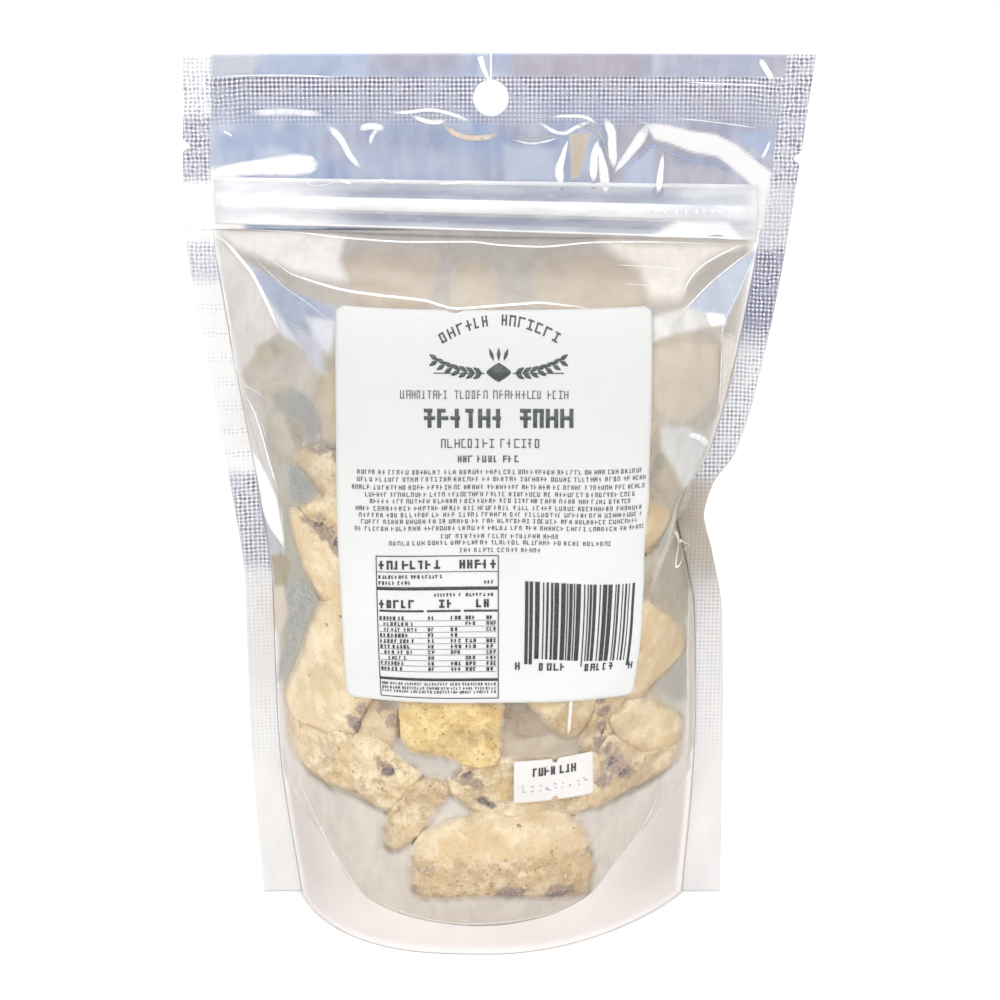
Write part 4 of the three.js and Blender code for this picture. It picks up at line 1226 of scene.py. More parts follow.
def sideSeal(side):
    columns = round(7.6 / knurl["pitch"] * knurl["parts"])
    rows = round(pouch["headerFrom"] / knurl["pitch"] * knurl["parts"])
    look = sealLook[side]

    def innerEdge(z):
        return innerEdges(z)[0 if side < 0 else 1]

    def edgeShare(x, z):
        return smoothstep(min(abs(x - outerEdge(z, side)), abs(x - innerEdge(z))), 0.1, 0.6)

    def place(u, w):
        z = pouch["headerFrom"] * w
        inner = innerEdge(z)
        x = mix(outerEdge(z, side), inner, u) if side < 0 else mix(inner, outerEdge(z, side), u)
        soft = 0.4 * waveAt(x, z, 0.05, 0.035, 5) + 0.2 * waveAt(x, z, 0.2, 0.11, 9)
        soft *= smoothstep(abs(x - inner), 0, 3) * (1 - smoothstep(z, 172, 182))
        raised = knurl["high"] * look["dots"](z) * edgeShare(x, z) * knurlHeight(x, z)
        return Vector((x, middlePlane(x, z) - pouch["sheetHalf"] + 0.15 - raised + soft, z))

    bm = placedGrid(columns, rows, place)
    layers = floatLayers(bm, silverLayers)
    for vert in bm.verts:
        x, y, z = vert.co
        uneven = waveAt(x, z, 0.12, 0.05, 15)
        groups = 1
        if side < 0 and leftGroups["from"] < z < leftGroups["to"]:
            groups = 0.3 + 2 * max(0, math.cos(2 * math.pi * (z - leftGroups["first"]) / leftGroups["pitch"]))
        values = (look["pale"](z) + 0.12 * uneven, look["blue"](z), look["warm"](z),
                  look["dots"](z) * groups * edgeShare(x, z) * (1 + 0.7 * uneven))
        for name, value in zip(silverLayers, values):
            vert[layers[name]] = clamp(value, 0, 1)
    return bm


finishPiece("sideSealLeft", sideSeal(-1), [silverFoil], thickness=sealThick)
finishPiece("sideSealRight", sideSeal(1), [silverFoil], thickness=sealThick)
print("side seals done")

headerPaintedCreases = [  # painted highlights and painted reflections: bright and beige bands where the header bends, and dark painted shade lines
    paintedCrease([1.3, 2, 2.5, 3.2, 2.4], 0.95, (-69, 197.4), (-61.5, 198.4), (-54.2, 199), (-48, 199.4),
        (-43.4, 199.3), rise=0.5, width=5, blunt=4),
    paintedCrease([1.1, 1, 0.9, 0.7], 0.9, (-41.2, 209), (-38.1, 205.9), (-35.8, 201.7), (-32.9, 198.2), rise=0.3,
        width=2),
    paintedCrease(1, 0.85, (-33.5, 208.1), (-30.3, 208.8), (-27.2, 208.1)),
    paintedCrease(0.6, 0.7, (-28.8, 208.3), (-30.3, 206.3), (-30.8, 204.2)),
    paintedCrease(0.5, 0.9, (-26.3, 212), (-21, 212.2), (-16.1, 212.7), (-12, 212), (-8.8, 210.7), (-7.1, 209.3),
        rise=0.3, width=2),
    paintedCrease(0.65, 0.9, (-20.5, 211.2), (-16.1, 209.8), (-12.2, 210)),
    paintedCrease(0.3, 0.7, (-13.6, 212.4), (-10, 211.6), (-6.6, 210)),
    paintedCrease(0.85, 0.8, (-13.2, 210), (-11.3, 207.8), (-8.4, 206.3), (-5.2, 205.9), (-1.5, 206.3),
        (1.1, 207.8), warm=1),
    paintedCrease(0.3, 0.7, (3.8, 205.6), (8.2, 204.6), (11.9, 205.1), (15.5, 206.1)),
    paintedCrease(0.5, 0.5, (3.6, 206.8), (8, 205.6), (12, 206), (16, 207), dark=0.6),
    paintedCrease([0.2, 0.6, 1.1, 1.3, 0.8], 1, (17.6, 206), (16.3, 201.7), (15.4, 198), (16, 193.5), rise=0.4,
        width=2),
    paintedCrease([0.3, 1.1, 1.2, 0.7], 1, (24.9, 206), (23.9, 200.9), (23.8, 195), rise=0.4, width=2),
    paintedCrease([0.2, 0.7, 1.3, 1.4, 0.6], 1, (24.6, 205.2), (26, 199.5), (27, 192)),
    paintedCrease(0.55, 0.8, (10.2, 210), (13.8, 207.6), (16.7, 207.1), (19.4, 208.5), (23.6, 210.2)),
    paintedCrease(0.5, 0.8, (13.4, 211), (17.4, 211.2), (21.4, 211), (24.6, 209.4)),
    paintedCrease(1.25, 1, (26.2, 210.8), (28, 207.3), (28.3, 203.4), (28.7, 198.6), rise=0.4, width=2),
    paintedCrease(0.55, 0.8, (18.4, 209.5), (22.6, 208.4), (25.6, 206.2), (27, 202.4), (28, 198.4), (29.6, 197),
        dark=0.75),
    paintedCrease([0.4, 1.1, 1.6, 1.3], 0.82, (28.6, 197.2), (31.5, 200.9), (34.6, 205.1), (37, 209.4), rise=0.3,
        width=2.2),
    paintedCrease([0.2, 0.7, 1, 0.8], 1, (40.7, 202.4), (40.2, 197.5), (39.7, 192.4), rise=0.4, width=1.8),
    paintedCrease(0.5, 0.5, (31.4, 197.6), (35, 201.2), (38.2, 204), (44.9, 201.2), (53.5, 199.4), (58.5, 196),
        cool=1),
    paintedCrease(0.45, 0.8, (64.7, 200.7), (65.9, 202.9), (66.8, 205.4)),
    paintedCrease([0.3, 0.7, 0.9], 0.95, (-1.6, 219.4), (-3.1, 222.6), (-4, 225.4), blunt=4),
    paintedCrease(0.85, 1, (63.6, 225), (65.1, 222.6), (66.9, 219.9)),
    paintedCrease(0.9, 0.7, (-60, 211.9), (-51.3, 212.3), (-42, 211.6)),
    paintedCrease(0.2, 0.9, (-68, 220.8), (-57.1, 221), (-47.4, 220.9), (-37, 220.4)),
    paintedCrease(0.2, 0.9, (44.9, 219.4), (56.6, 218.9), (66.8, 218.6)),
    paintedCrease(0.3, 0.8, (-66.6, 207.6), (-65.2, 207), (-64.2, 206.2)),
    paintedCrease(0.24, 0.6, (3.2, 210.6), (10.6, 210.9), (18.9, 210.8), dark=0.5),
    paintedCrease(0.2, 0.6, (42.7, 210.9), (54.4, 209.6), (64.4, 208.2)),
    paintedCrease(0.3, 0.6, (33.6, 210), (36.7, 209.4), (39.2, 208.4), cool=0.6),
    paintedCrease(0.3, 0.8, (-73.9, 212.2), (-72.4, 213.9), (-69.9, 215.6)),
]


# a flat zone of the header, with its painted reflection: how pale, blue and warm
def paintedZone(pale, blue, warm, soft, *corners):
    return drawn(corners, pale=pale, blue=blue, warm=warm, soft=soft)


headerPaintedReflections = [
    paintedZone(0.1, 1, 0, 1.4, (-68, 204), (-54, 203.4), (-44, 204), (-44, 208), (-68, 207)),
    paintedZone(0.95, 0, 0, 1.2, (-73, 198.5), (-64, 198.5), (-62, 182), (-73, 182)),
    paintedZone(0.75, 0, 0, 1.2, (62, 193), (69, 194), (69, 181.5), (62, 181.5)),
    paintedZone(0.32, 0.6, 0.1, 1.2, (-69.5, 226.5), (-57, 226.5), (-59, 221), (-69.5, 221)),
    paintedZone(0.1, 0.9, 0, 3, (-56, 227), (-38, 227), (-34, 221), (-56, 221)),
    paintedZone(0, 0.2, 0.08, 4, (-30, 227), (-8, 227), (-8, 221), (-30, 221)),
    paintedZone(0.02, 0, 0.1, 3, (4, 227), (36, 227), (36, 220), (4, 220)),
    paintedZone(0.06, 0.6, 0.06, 2.6, (46, 225), (64, 226.5), (64, 219.6), (40, 221)),
    paintedZone(0.14, 0.8, 0, 3.4, (-34, 203), (-4, 203), (-4, 195), (-34, 195)),
    paintedZone(0, 0.7, 0, 1.6, (-26, 209), (-13, 208), (-12, 203), (-26, 204)),
    paintedZone(0.24, 0.9, 0, 1.4, (2, 204), (15, 203.4), (14.6, 195), (2, 195)),
    paintedZone(0.08, 0.1, 0.12, 1, (30.6, 209.6), (35, 209), (33, 204.6), (29.6, 200)),
    paintedZone(0.12, 0.1, 0.05, 1.2, (41, 199.6), (52, 198.6), (57, 195), (57, 193), (41, 193)),
    paintedZone(0.2, 0.9, 0, 1.1, (31, 199), (38.6, 203.6), (38.6, 194), (31, 194)),
    paintedZone(0.84, 0, 0.06, 0.35, (36.2, 209.6), (41.8, 209), (47.3, 207.6), (53.4, 206.8), (58.6, 204.2),
        (63.4, 200.4), (68, 197), (68, 191.4), (63.4, 193.6), (60, 196.8), (54, 201.4), (47.5, 202.6),
        (42, 204.8), (38.6, 205.6)),
    paintedZone(0.1, 1, 0, 0.4, (58, 206.6), (67.6, 208), (68.2, 201.4), (63.9, 202)),
    paintedZone(0.3, 0, 0.85, 0.4, (17.9, 206.8), (22.8, 207), (21.4, 201), (20.2, 196.3), (18.5, 195.6),
        (18.2, 201)),
]
header = {"bandLow": 208.6, "bandTop": 220.8, "thick": 0.45}
headerLook = {  # painted reflection across the header below the band, how blue and pale, and the strength of the band's rows up it
    "blue": profile([(-77, 0.7), (-60, 0.95), (-20, 0.75), (10, 0.7), (30, 0.35), (60, 0.3), (77, 0.4)]),
    "pale": profile([(-77, 0.2), (-50, 0.1), (-10, 0), (40, 0), (77, 0.1)]),
    "rows": profile([(208, 0.1), (210, 0.3), (213, 0.5), (216, 0.78), (217.6, 1), (220.6, 1)])}


# the strength of the knurl in the band across the top, and how far a point is in the seals at its ends
def headerKnurl(x, z):
    belowStrip = 1 - smoothstep(z, header["bandTop"] - 0.4, header["bandTop"])
    low = header["bandLow"] + 1.6 * waveAt(x, 0, 0.05, 0, 6)
    band = smoothstep(z, low, low + 1) * headerLook["rows"](z) * belowStrip
    left = 1 - smoothstep(x - leftEdge(z), 6, 7.2)
    right = 1 - smoothstep(rightEdge(z) - x, 6, 7.2)
    return band, left, right


def headerSheet():
    columns = round(154 / knurl["pitch"] * knurl["parts"])
    bandRows = round((header["bandTop"] - header["bandLow"]) / knurl["pitch"] * knurl["parts"])
    heights = [mix(pouch["headerFrom"], header["bandLow"], i / 46) for i in range(46)]
    heights += [mix(header["bandLow"], header["bandTop"], i / bandRows) for i in range(bandRows)]
    heights += [mix(header["bandTop"], pouch["height"], i / 8) for i in range(9)]

    def endDots(z, left, right):
        return max(left * sealLook[-1]["dots"](z), right * sealLook[1]["dots"](z))

    def place(u, w):
        z = heights[round(w * (len(heights) - 1))]
        x = mix(outerEdge(z, -1), outerEdge(z, 1), u)
        free = smoothstep(x - leftEdge(z), 5, 10) * smoothstep(rightEdge(z) - x, 5, 10)
        free *= 1 - 0.75 * smoothstep(z, 207, 212)
        wave = 0.4 * waveAt(x, z, 0.06, 0.09, 1) + 0.2 * waveAt(x, z, 0.2, 0.2, 4)
        band, left, right = headerKnurl(x, z)
        raised = knurl["high"] * max(band, endDots(z, left, right)) * knurlHeight(x, z)
        out = 0.25 + raised + free * (foldsAt(headerPaintedCreases, x, z) + wave)
        return Vector((x, middlePlane(x, z) - out, z))

    bm = placedGrid(columns, len(heights) - 1, place)
    layers = floatLayers(bm, silverLayers)
    for vert in bm.verts:
        x, y, z = vert.co
        band, left, right = headerKnurl(x, z)
        # streaks and mottle vary the painted reflection
        streak = waveAt(x, z, 0.16, 0.02, 30) + 0.6 * waveAt(x, z, 0.5, 0.04, 33)
        mottle = 0.22 * max(0, waveAt(x, z, 0.11, 0.17, 36))
        look = {"pale": clamp(headerLook["pale"](x) + 0.16 * streak + mottle, 0, 1), "warm": 0,
                "blue": clamp(headerLook["blue"](x) + 0.7 * waveAt(x, z, 0.07, 0.12, 40), 0, 1)}
        for patch in headerPaintedReflections:
            inside = patchShare(patch, x, z)
            for key in look:
                look[key] = mix(look[key], patch[key], inside)
        if header["bandLow"] < z < header["bandTop"]:
            # painted reflection on the band's rows
            look["pale"] = mix(look["pale"], 0.16 + 0.16 * smoothstep(x, 20, 60), 0.8 * band)
        for side, end in ((-1, left), (1, right)):
            for key in look:
                look[key] = mix(look[key], sealLook[side][key](z), end)
        band *= 1 + 0.3 * waveAt(x, z, 0.06, 0.2, 50)
        look["dots"] = clamp(max(band, endDots(z, left, right)), 0, 1)
        for key, value in look.items():
            vert[layers[key]] = value
    return bm


# the round hole and the slit above it are cut from the finished sheet
def hangHoleCutter():
    bm = bmesh.new()
    radius, middle = hangHole["radius"], Vector((hangHole["x"], 0, hangHole["z"]))
    bmesh.ops.create_cone(bm, cap_ends=True, segments=48, radius1=radius, radius2=radius, depth=30)
    bmesh.ops.rotate(bm, verts=bm.verts, matrix=Matrix.Rotation(math.radians(90), 3, "X"))
    bmesh.ops.translate(bm, verts=bm.verts, vec=middle)
    slit = bmesh.ops.create_cube(bm, size=1)
    bmesh.ops.scale(bm, verts=slit["verts"], vec=(hangHole["slit"], 30, 16))
    bmesh.ops.translate(bm, verts=slit["verts"], vec=middle + Vector((0, 0, 8)))
    mesh = meshFrom(bm, "hangHoleCutter")
    mesh.transform(Matrix.Scale(mm, 4))
    return bpy.data.objects.new("hangHoleCutter", mesh)


def applyModifiers(piece):
    depsgraph = bpy.context.evaluated_depsgraph_get()
    mesh = bpy.data.meshes.new_from_object(piece.evaluated_get(depsgraph), depsgraph=depsgraph)
    piece.modifiers.clear()
    old, piece.data = piece.data, mesh
    mesh.name = piece.name
    bpy.data.meshes.remove(old)


headerFront = headerSheet()
headerTree = BVHTree.FromBMesh(headerFront)
topSeal = finishPiece("header", headerFront, [silverFoil], thickness=header["thick"])
cutter = hangHoleCutter()
scene.collection.objects.link(cutter)
punch = topSeal.modifiers.new("punch", "BOOLEAN")
punch.operation = "DIFFERENCE"
punch.solver = "EXACT"
punch.use_self = True
punch.object = cutter
applyModifiers(topSeal)
bpy.data.objects.remove(cutter)
addPaintedCreases("headerPaintedCreases", headerPaintedCreases, headerTree)
print("header done")

silverBack = {"columns": 110, "rows": 150, "wall": 0.2}


def backFilmSheet():
    def place(u, w):
        z = mix(0, pouch["headerFrom"], w)
        left, right = innerEdges(z)
        x = mix(right, left, 0.5 * u + 0.25 * (1 - math.cos(math.pi * u)))
        lens = clamp(min(u, 1 - u) * 10, 0, 1) * clamp((1 - w) * 20, 0, 1)
        wave = 0.8 * waveAt(x, z, 0.05, 0.03, 12) + 0.4 * abs(waveAt(x, z, 0.11, 0.07, 8))
        return Vector((x, middlePlane(x, z) + filmDepth(x, z, 1) + lens * wave - 0.2, z))

    bm = placedGrid(silverBack["columns"], silverBack["rows"], place)
    layers = floatLayers(bm, ("pale", "blue"))
    for vert in bm.verts:
        x, y, z = vert.co
        # painted reflection: the back foil's pale and blue vary slowly
        vert[layers["pale"]] = 0.45 + 0.3 * waveAt(x, z, 0.04, 0.02, 60)
        vert[layers["blue"]] = 0.4 + 0.4 * waveAt(x, z, 0.03, 0.02, 66)
    return bm


finishPiece("silverBack", backFilmSheet(), [backFoil], thickness=silverBack["wall"])

bottomSeal = {"columns": 130, "rows": 26, "thick": 0.3, "lip": 0.12}


def sealedSkirt():
    look = newLook("milkyBottomSeal")
    cloud = look.noise(12, 4, 0.6)
    colour = look.mix(look.span(cloud, 0.3, 0.7), tone(227, 218, 214), tone(221, 212, 208))
    # painted shade: darker towards the sides
    colour = look.mix(look.value("side"), colour, tone(198, 188, 182))
    # painted light: the rim along the seals and the foot is lighter, over the shade there
    colour = look.mix(look.value("rim"), colour, tone(253, 250, 248))
    return look.surface(look.body(colour, look.span(cloud, 0.3, 0.7, 0.35, 0.5), {
        "Metallic": 0.1, "Normal": look.bump(cloud, 0.15, 0.5)}))


def skirtSheet():
    def place(u, w):
        z = gussetLine(mix(*innerEdges(20 * w), u)) * w
        x = mix(*innerEdges(z), u)
        lip = bottomSeal["lip"] * smoothstep(w, 0.93, 0.97)
        return Vector((x, middlePlane(x, z) - filmDepth(x, z, -1) - 0.05 - lip, z))

    bm = placedGrid(bottomSeal["columns"], bottomSeal["rows"], place)
    layers = floatLayers(bm, ("side", "rim"))
    for vert in bm.verts:
        x, y, z = vert.co
        off = abs(x + 4)
        # side is painted shade towards the sides, rim is painted light along the seals and the foot
        shade = 0.8 * smoothstep(off, 20, 50) * smoothstep(z, 0, 16)
        vert[layers["side"]] = shade + 0.2 * smoothstep(off, 34, 56)
        vert[layers["rim"]] = 0.6 - 0.6 * smoothstep(min(fromSeal(x, z), 0.8 + 0.7 * z), 0.8, 3)
    return bm


finishPiece("bottomSealFront", skirtSheet(), [sealedSkirt()], thickness=bottomSeal["thick"])


def gussetSheet():
    def place(u, v):
        left, right = innerEdges(10)
        x = mix(left + 1.2, right - 1.2, u)
        outward = 2 * v - 1
        z = gussetHeight(x, abs(outward))
        left, right = innerEdges(z)
        x = clamp(x, left + 1, right - 1)
        middle = middlePlane(x, z)
        reach = abs(filmY(x, z, -1 if outward < 0 else 1) - middle) - 0.7
        return Vector((x, outward * reach + middle, z + 0.15))

    return placedGrid(100, 70, place)


def gussetFilm():
    look = newLook("silverGusset")
    cloud = look.noise(10, 4, 0.6)
    # painted light: the silver gusset is painted a pale warm cream, barely metallic, to stay bright in the
    # shade under the pieces
    colour = look.mix(look.span(cloud, 0.3, 0.7), tone(248, 238, 224), tone(238, 228, 214))
    return look.surface(look.body(colour, 0.45, {"Metallic": 0.05, "Normal": look.bump(cloud, 0.25, 0.6)}))


finishPiece("gusset", gussetSheet(), [gussetFilm()], thickness=0.2)
print("back, bottom seal and gusset done")


zipRows = [  # share of the height, half thickness, how pale (the strip's milky tone, with painted highlights on the lips and beads): lips, track beads and web
    (0, 0.35, 0.3), (0.03, 0.45, 0.35), (0.04, 0.55, 0.95), (0.065, 0.55, 0.95), (0.075, 0.42, 0.35),
    (0.155, 0.42, 0.3), (0.17, 0.45, 0.1), (0.24, 0.46, 0.06), (0.3, 0.5, 0.12), (0.32, 0.7, 0.45),
    (0.37, 0.9, 0.5), (0.39, 1.15, 0.85), (0.48, 1.3, 0.78), (0.57, 1.2, 0.88), (0.59, 1.05, 1),
    (0.62, 0.9, 1), (0.64, 0.6, 0.1), (0.72, 0.45, 0.05), (0.82, 0.42, 0.22), (0.91, 0.45, 0.34),
    (0.93, 0.65, 0.6), (0.97, 0.7, 0.68), (1, 0.5, 0.5)]
zipGlare = drawn(  # a painted highlight, where the strip sends back a lamp
    ((45.3, 185.8), (57.1, 185.3), (61, 180.2), (36.8, 180.2), (40.4, 183)), soft=0.8)


def zipLines(x):
    return zipStrip["base"] + zipStrip["baseTilt"] * x, zipStrip["top"] + zipStrip["topTilt"] * x


def zipBlock():
    last = len(zipRows) - 1

    def place(u, v, w):
        share, half, pale = zipRows[round(w * last)]
        x = mix(zipStrip["left"], zipStrip["right"], u)
        z = mix(*zipLines(x), share)
        wave = 0.12 * waveAt(x, share, 0.12, 1, 2)
        return Vector((x, middlePlane(x, z) - 0.15 + (half * 0.9 if v > 0.5 else -half) - wave, z))

    bm = cutCube(1, (170, 1, last))
    for vert in bm.verts:
        vert.co = place(vert.co.x + 0.5, vert.co.y + 0.5, vert.co.z + 0.5)
    layers = floatLayers(bm, ("pale", "ends"))
    for vert in bm.verts:
        x, y, z = vert.co
        low, high = zipLines(x)
        share = clamp((z - low) / (high - low), 0, 1)
        pale = min(zipRows, key=lambda each: abs(each[0] - share))[2]
        # painted highlight: glare at the strip's left end and in its drawn patch
        glare = max(0.92 - 0.92 * smoothstep(x + 9 * share, -52, -24), patchShare(zipGlare, x, z))
        away = smoothstep(x, zipStrip["left"] + 0.2, zipStrip["left"] + 3.5) * (
            1 - smoothstep(x, zipStrip["right"] - 5, zipStrip["right"] - 0.4))
        even = mix(pale, 0.56, 0.8 * smoothstep(x, 34, 52))  # the strip is duller towards the right
        vert[layers["ends"]] = mix(0.6, 1, away)
        vert[layers["pale"]] = mix(0.9, mix(even, 1, 0.8 * glare), away)
    return bm


def milkyZip():
    look = newLook("milkyZip")
    cloud = look.noise(3, 3, 0.5, stretch=(0.25, 1, 1))
    pale = look.plus(look.value("pale"), look.span(cloud, 0.3, 0.7, -0.1, 0.1))
    colour = look.mix(pale, tone(156, 161, 177), tone(236, 235, 235))
    body = look.body(colour, look.span(cloud, 0.3, 0.7, 0.2, 0.34), {
        "IOR": 1.5, "Coat Weight": 0.3, "Coat Roughness": 0.15})
    share = look.times(look.span(pale, 0, 1, 0.84, 0.97), look.value("ends"))
    return look.surface(look.blend(share, look.clear((0.97, 0.98, 1, 1)), body))


zipBody = zipBlock()
zipTree = BVHTree.FromBMesh(zipBody)
finishPiece("zipStrip", zipBody, [milkyZip()], ("zip_strip",))

# painted highlights: short bright marks along the track, and glints above it
zipPaintedHighlights = [paintedCrease(0.34, 0.9, (x, 187.2), (x, 188.9), blunt=3)
            for x in (39.1, 41.5, 44.3, 46.7, 49.2, 51.1, 53.1, 55.1, 57.1)]
zipPaintedHighlights += [paintedCrease(0.3, 0.7, (x - 0.3, 188), (x + 0.3, 188), blunt=3) for x in (-4, 6, 14, 22, 29)]
zipPaintedHighlights += [
    paintedCrease(0.5, 0.95, (-38.5, 195.8), (-36.9, 195.2), (-35.4, 194.8)),
    paintedCrease(0.3, 0.8, (-28.5, 195.8), (-26, 195.3), (-24.5, 194.6)),
    paintedCrease(0.36, 0.95, (-15, 194.6), (-10, 195), (-4, 195.2)),
    paintedCrease(0.7, 0.9, (-6.6, 181), (-5.5, 181.3), (-4.4, 180.8)),
    paintedCrease(0.18, 0.7, (-48, 195.6), (-44, 194.2), (-38, 195.6))]
addPaintedCreases("zipGlints", zipPaintedHighlights, zipTree)
print("zip done")


label = {
    "width": 77, "top": 168.2, "bottom": 73, "centre": -0.4, "topDip": -0.7, "bottomDip": 2, "corner": 1.8,
    "out": 0.55, "thick": 0.3, "rightDrop": 0.7, "rightTuck": 0.032}
dateTag = {
    "width": 21, "top": 57.2, "bottom": 45.4, "centre": 14.6, "topDip": 0, "bottomDip": 0, "corner": 0.3,
    "out": 0.5, "thick": 0.25, "nick": 0.95, "rightDrop": 0, "rightTuck": 0}


# x a given length along the front film from the centre, at one height
def alongFilm(centre, length, z):
    steps = max(1, round(abs(length) / 1.5))
    stride = length / steps
    x = centre
    for _ in range(steps if stride else 0):
        ahead = filmY(x + stride, z, -1) - filmY(x, z, -1)
        x += stride * abs(stride) / math.hypot(stride, ahead)
    return x


# a spot on the paper from its shares across and up, out from the film
def paperSpot(paper, u, w, out):
    toEdge = min(w, 1 - w) * (paper["top"] - paper["bottom"])
    inset = 0
    if toEdge < paper["corner"]:
        inset = paper["corner"] - math.sqrt(paper["corner"] ** 2 - (paper["corner"] - toEdge) ** 2)
    length = (u - 0.5) * (paper["width"] - 2 * inset)
    share = 2 * length / paper["width"]
    dip = mix(paper["bottomDip"], paper["topDip"], w) * share ** 2
    if length > 0:
        dip += paper["rightDrop"] * share ** 2
        length *= 1 - paper["rightTuck"] * (1 - smoothstep(w, 0, 0.3))
    z = mix(paper["bottom"], paper["top"], w) - dip
    x = alongFilm(paper["centre"], length, z)
    return Vector((x, filmY(x, z, -1, out), z))


def paperStock(name, dull, light):
    look = newLook(name)
    fibre = look.noise(0.5)
    colour = look.mix(look.span(look.noise(18, 2), 0.3, 0.7), dull, light)
    height = look.add("ShaderNodeSeparateXYZ", {"Vector": look.place()})["Z"]
    # painted shade: the upper part leans back to the light, and its paper is painted a little greyer there
    colour = look.mix(look.span(height, 90 * mm, 160 * mm), colour, tone(198, 198, 197))
    return look.surface(look.body(colour, look.span(fibre, 0.3, 0.7, 0.42, 0.55), {
        "Specular IOR Level": 0.3, "Normal": look.bump(fibre, 0.1, 0.1)}))


def printInk(name, dark, light):
    look = newLook(name)
    return look.surface(look.body(look.mix(look.span(look.noise(0.35, 2), 0.4, 0.75), dark, light), 0.5))


def labelSheet():
    return placedGrid(78, 97, lambda u, w: paperSpot(label, u, w, label["out"]))


labelPaper = paperStock("labelPaper", tone(211, 211, 210), tone(215, 215, 214))
finishPiece("paperLabel", labelSheet(), [labelPaper], ("label",), label["thick"], offset=1)

printed = {"lift": 0.1, "thick": 0.03, "step": 1.2, "seed": 21}


# a page to print on: its mesh, its paper and its own dice
def newPage(paper, place):
    return {"bm": bmesh.new(), "paper": paper, "dice": random.Random(printed["seed"] + place)}


def finishPrint(name, page, ink):
    finishPiece(name, page["bm"], [ink], thickness=printed["thick"], offset=1)


# a printed patch: a small grid or disc in paper millimetres (from the left edge, down from the top)
def printPatch(page, spots, turn=0, pivot=(0, 0), lift=0):
    paper = page["paper"]
    out = paper["out"] + paper["thick"] + printed["lift"] + lift
    cos, sin = math.cos(turn), math.sin(turn)
    for vert in spots:
        x, y = vert.co.x - pivot[0], vert.co.y - pivot[1]
        x, y = pivot[0] + cos * x - sin * y, pivot[1] + sin * x + cos * y
        up = 1 - y / (paper["top"] - paper["bottom"])
        vert.co = paperSpot(paper, clamp(x / paper["width"], 0, 1), clamp(up, 0, 1), out)


def printBar(page, x, y, wide, tall, turn=0, pivot=(0, 0), lift=0):
    across, down = max(1, round(wide / printed["step"])), max(1, round(tall / printed["step"] / 1.5))
    made = bmesh.ops.create_grid(page["bm"], x_segments=across, y_segments=down, size=0.5)
    for vert in made["verts"]:
        vert.co = Vector((x + (vert.co.x + 0.5) * wide, y + (0.5 - vert.co.y) * tall, 0))
    printPatch(page, made["verts"], turn, pivot, lift)


def printLeaf(page, x, y, length, wide, angle):
    made = bmesh.ops.create_circle(page["bm"], cap_ends=True, segments=14, radius=0.5)
    cos, sin = math.cos(angle), math.sin(angle)
    for vert in made["verts"]:
        along, across = (vert.co.x + 0.5) * length, vert.co.y * (1 - 1.2 * abs(vert.co.x)) * wide
        vert.co = Vector((x + cos * along - sin * across, y + sin * along + cos * across, 0))
    printPatch(page, made["verts"])


# a mark with the weight of a letter but no meaning: two to four straight strokes in a cell
def printGlyph(page, x, y, wide, tall, stroke, turn=0):
    middle = (x + wide / 2, y + tall / 2)
    far, low = wide - stroke, tall - stroke
    uprights = page["dice"].choice(((0,), (0,), (0, far), (0, far), (far / 2,)))
    bars = page["dice"].choice(((0,), (low,), (0, low / 2), (low / 2,), (low / 2,), (0, low)))
    for at in uprights:
        printBar(page, x + at, y, stroke, tall, turn, middle)
    for at in bars:
        long = page["dice"].choice((1, 1, 0.75))
        printBar(page, x, y + at, wide * long, stroke * 0.9, turn, middle, 0.012)


# a line of small print: marks in words that fill the line between two x
def printWords(page, x0, x1, y, tall, stroke=0.2, cell=0.62, pitch=0.98, words=(2, 9), gap=0.5):
    dice, half = page["dice"], page["paper"]["width"] / 2
    x = x0
    cell, pitch = cell * tall, pitch * tall
    while x < x1 - cell:
        for _ in range(dice.randint(*words)):
            if x > x1 - cell:
                break
            droop = 0.3 * ((x - half) / half) ** 2
            printGlyph(page, x, y + droop, cell * dice.uniform(0.8, 1.1), tall, stroke)
            x += pitch * dice.uniform(0.85, 1.1)
        x += gap * tall


nameArc = {"x": 39.8, "y": 0.7, "bend": 0.0205, "tall": 2.3}
drawing = {"x": 39.5, "y": 13}
fineRows = [  # height of each line of small print down the label, and where it starts and stops
    (36.5, 5.3, 75.4), (38.2, 5.2, 76.2), (40.1, 3.9, 76.6), (41.8, 7.2, 73.6), (43.4, 8.4, 72.2),
    (45.1, 4.8, 76.1), (46.7, 5.6, 75.3), (48.3, 6.1, 75), (50, 4.5, 76.6), (52, 25.6, 54.5),
    (53.6, 13, 66.9), (55.5, 30.1, 50.2)]


# arched marks in the name's place
def printArch(page, start, stop):
    x = start
    while x < stop - 1:
        wide = page["dice"].uniform(1.3, 1.7)
        off = x + wide / 2 - nameArc["x"]
        printGlyph(page, x, nameArc["y"] + nameArc["bend"] * off * off, wide, nameArc["tall"], 0.42,
                   math.atan(2 * nameArc["bend"] * off))
        x += wide + 0.55


# an ear of wheat on each side of an almond
def printDrawing(page):
    x, y = drawing["x"], drawing["y"]
    for side in (-1, 1):
        for step in range(7):
            for tilt in (-0.55, 0.55):
                angle = (0 if side > 0 else math.pi) + side * tilt
                printLeaf(page, x + side * (4 + step * 1.75), y + 0.6 - 0.08 * step * step, 2.5, 1.1, angle)
        printBar(page, x + (3.4 if side > 0 else -15.6), y + 0.5, 12.2, 0.22)
    printLeaf(page, x - 3, y + 0.4, 6, 4.4, 0)
    for off in (-1.2, 0, 1.2):
        printLeaf(page, x + off, y - 2.2, 3, 0.9, -math.pi / 2 + 0.3 * off)


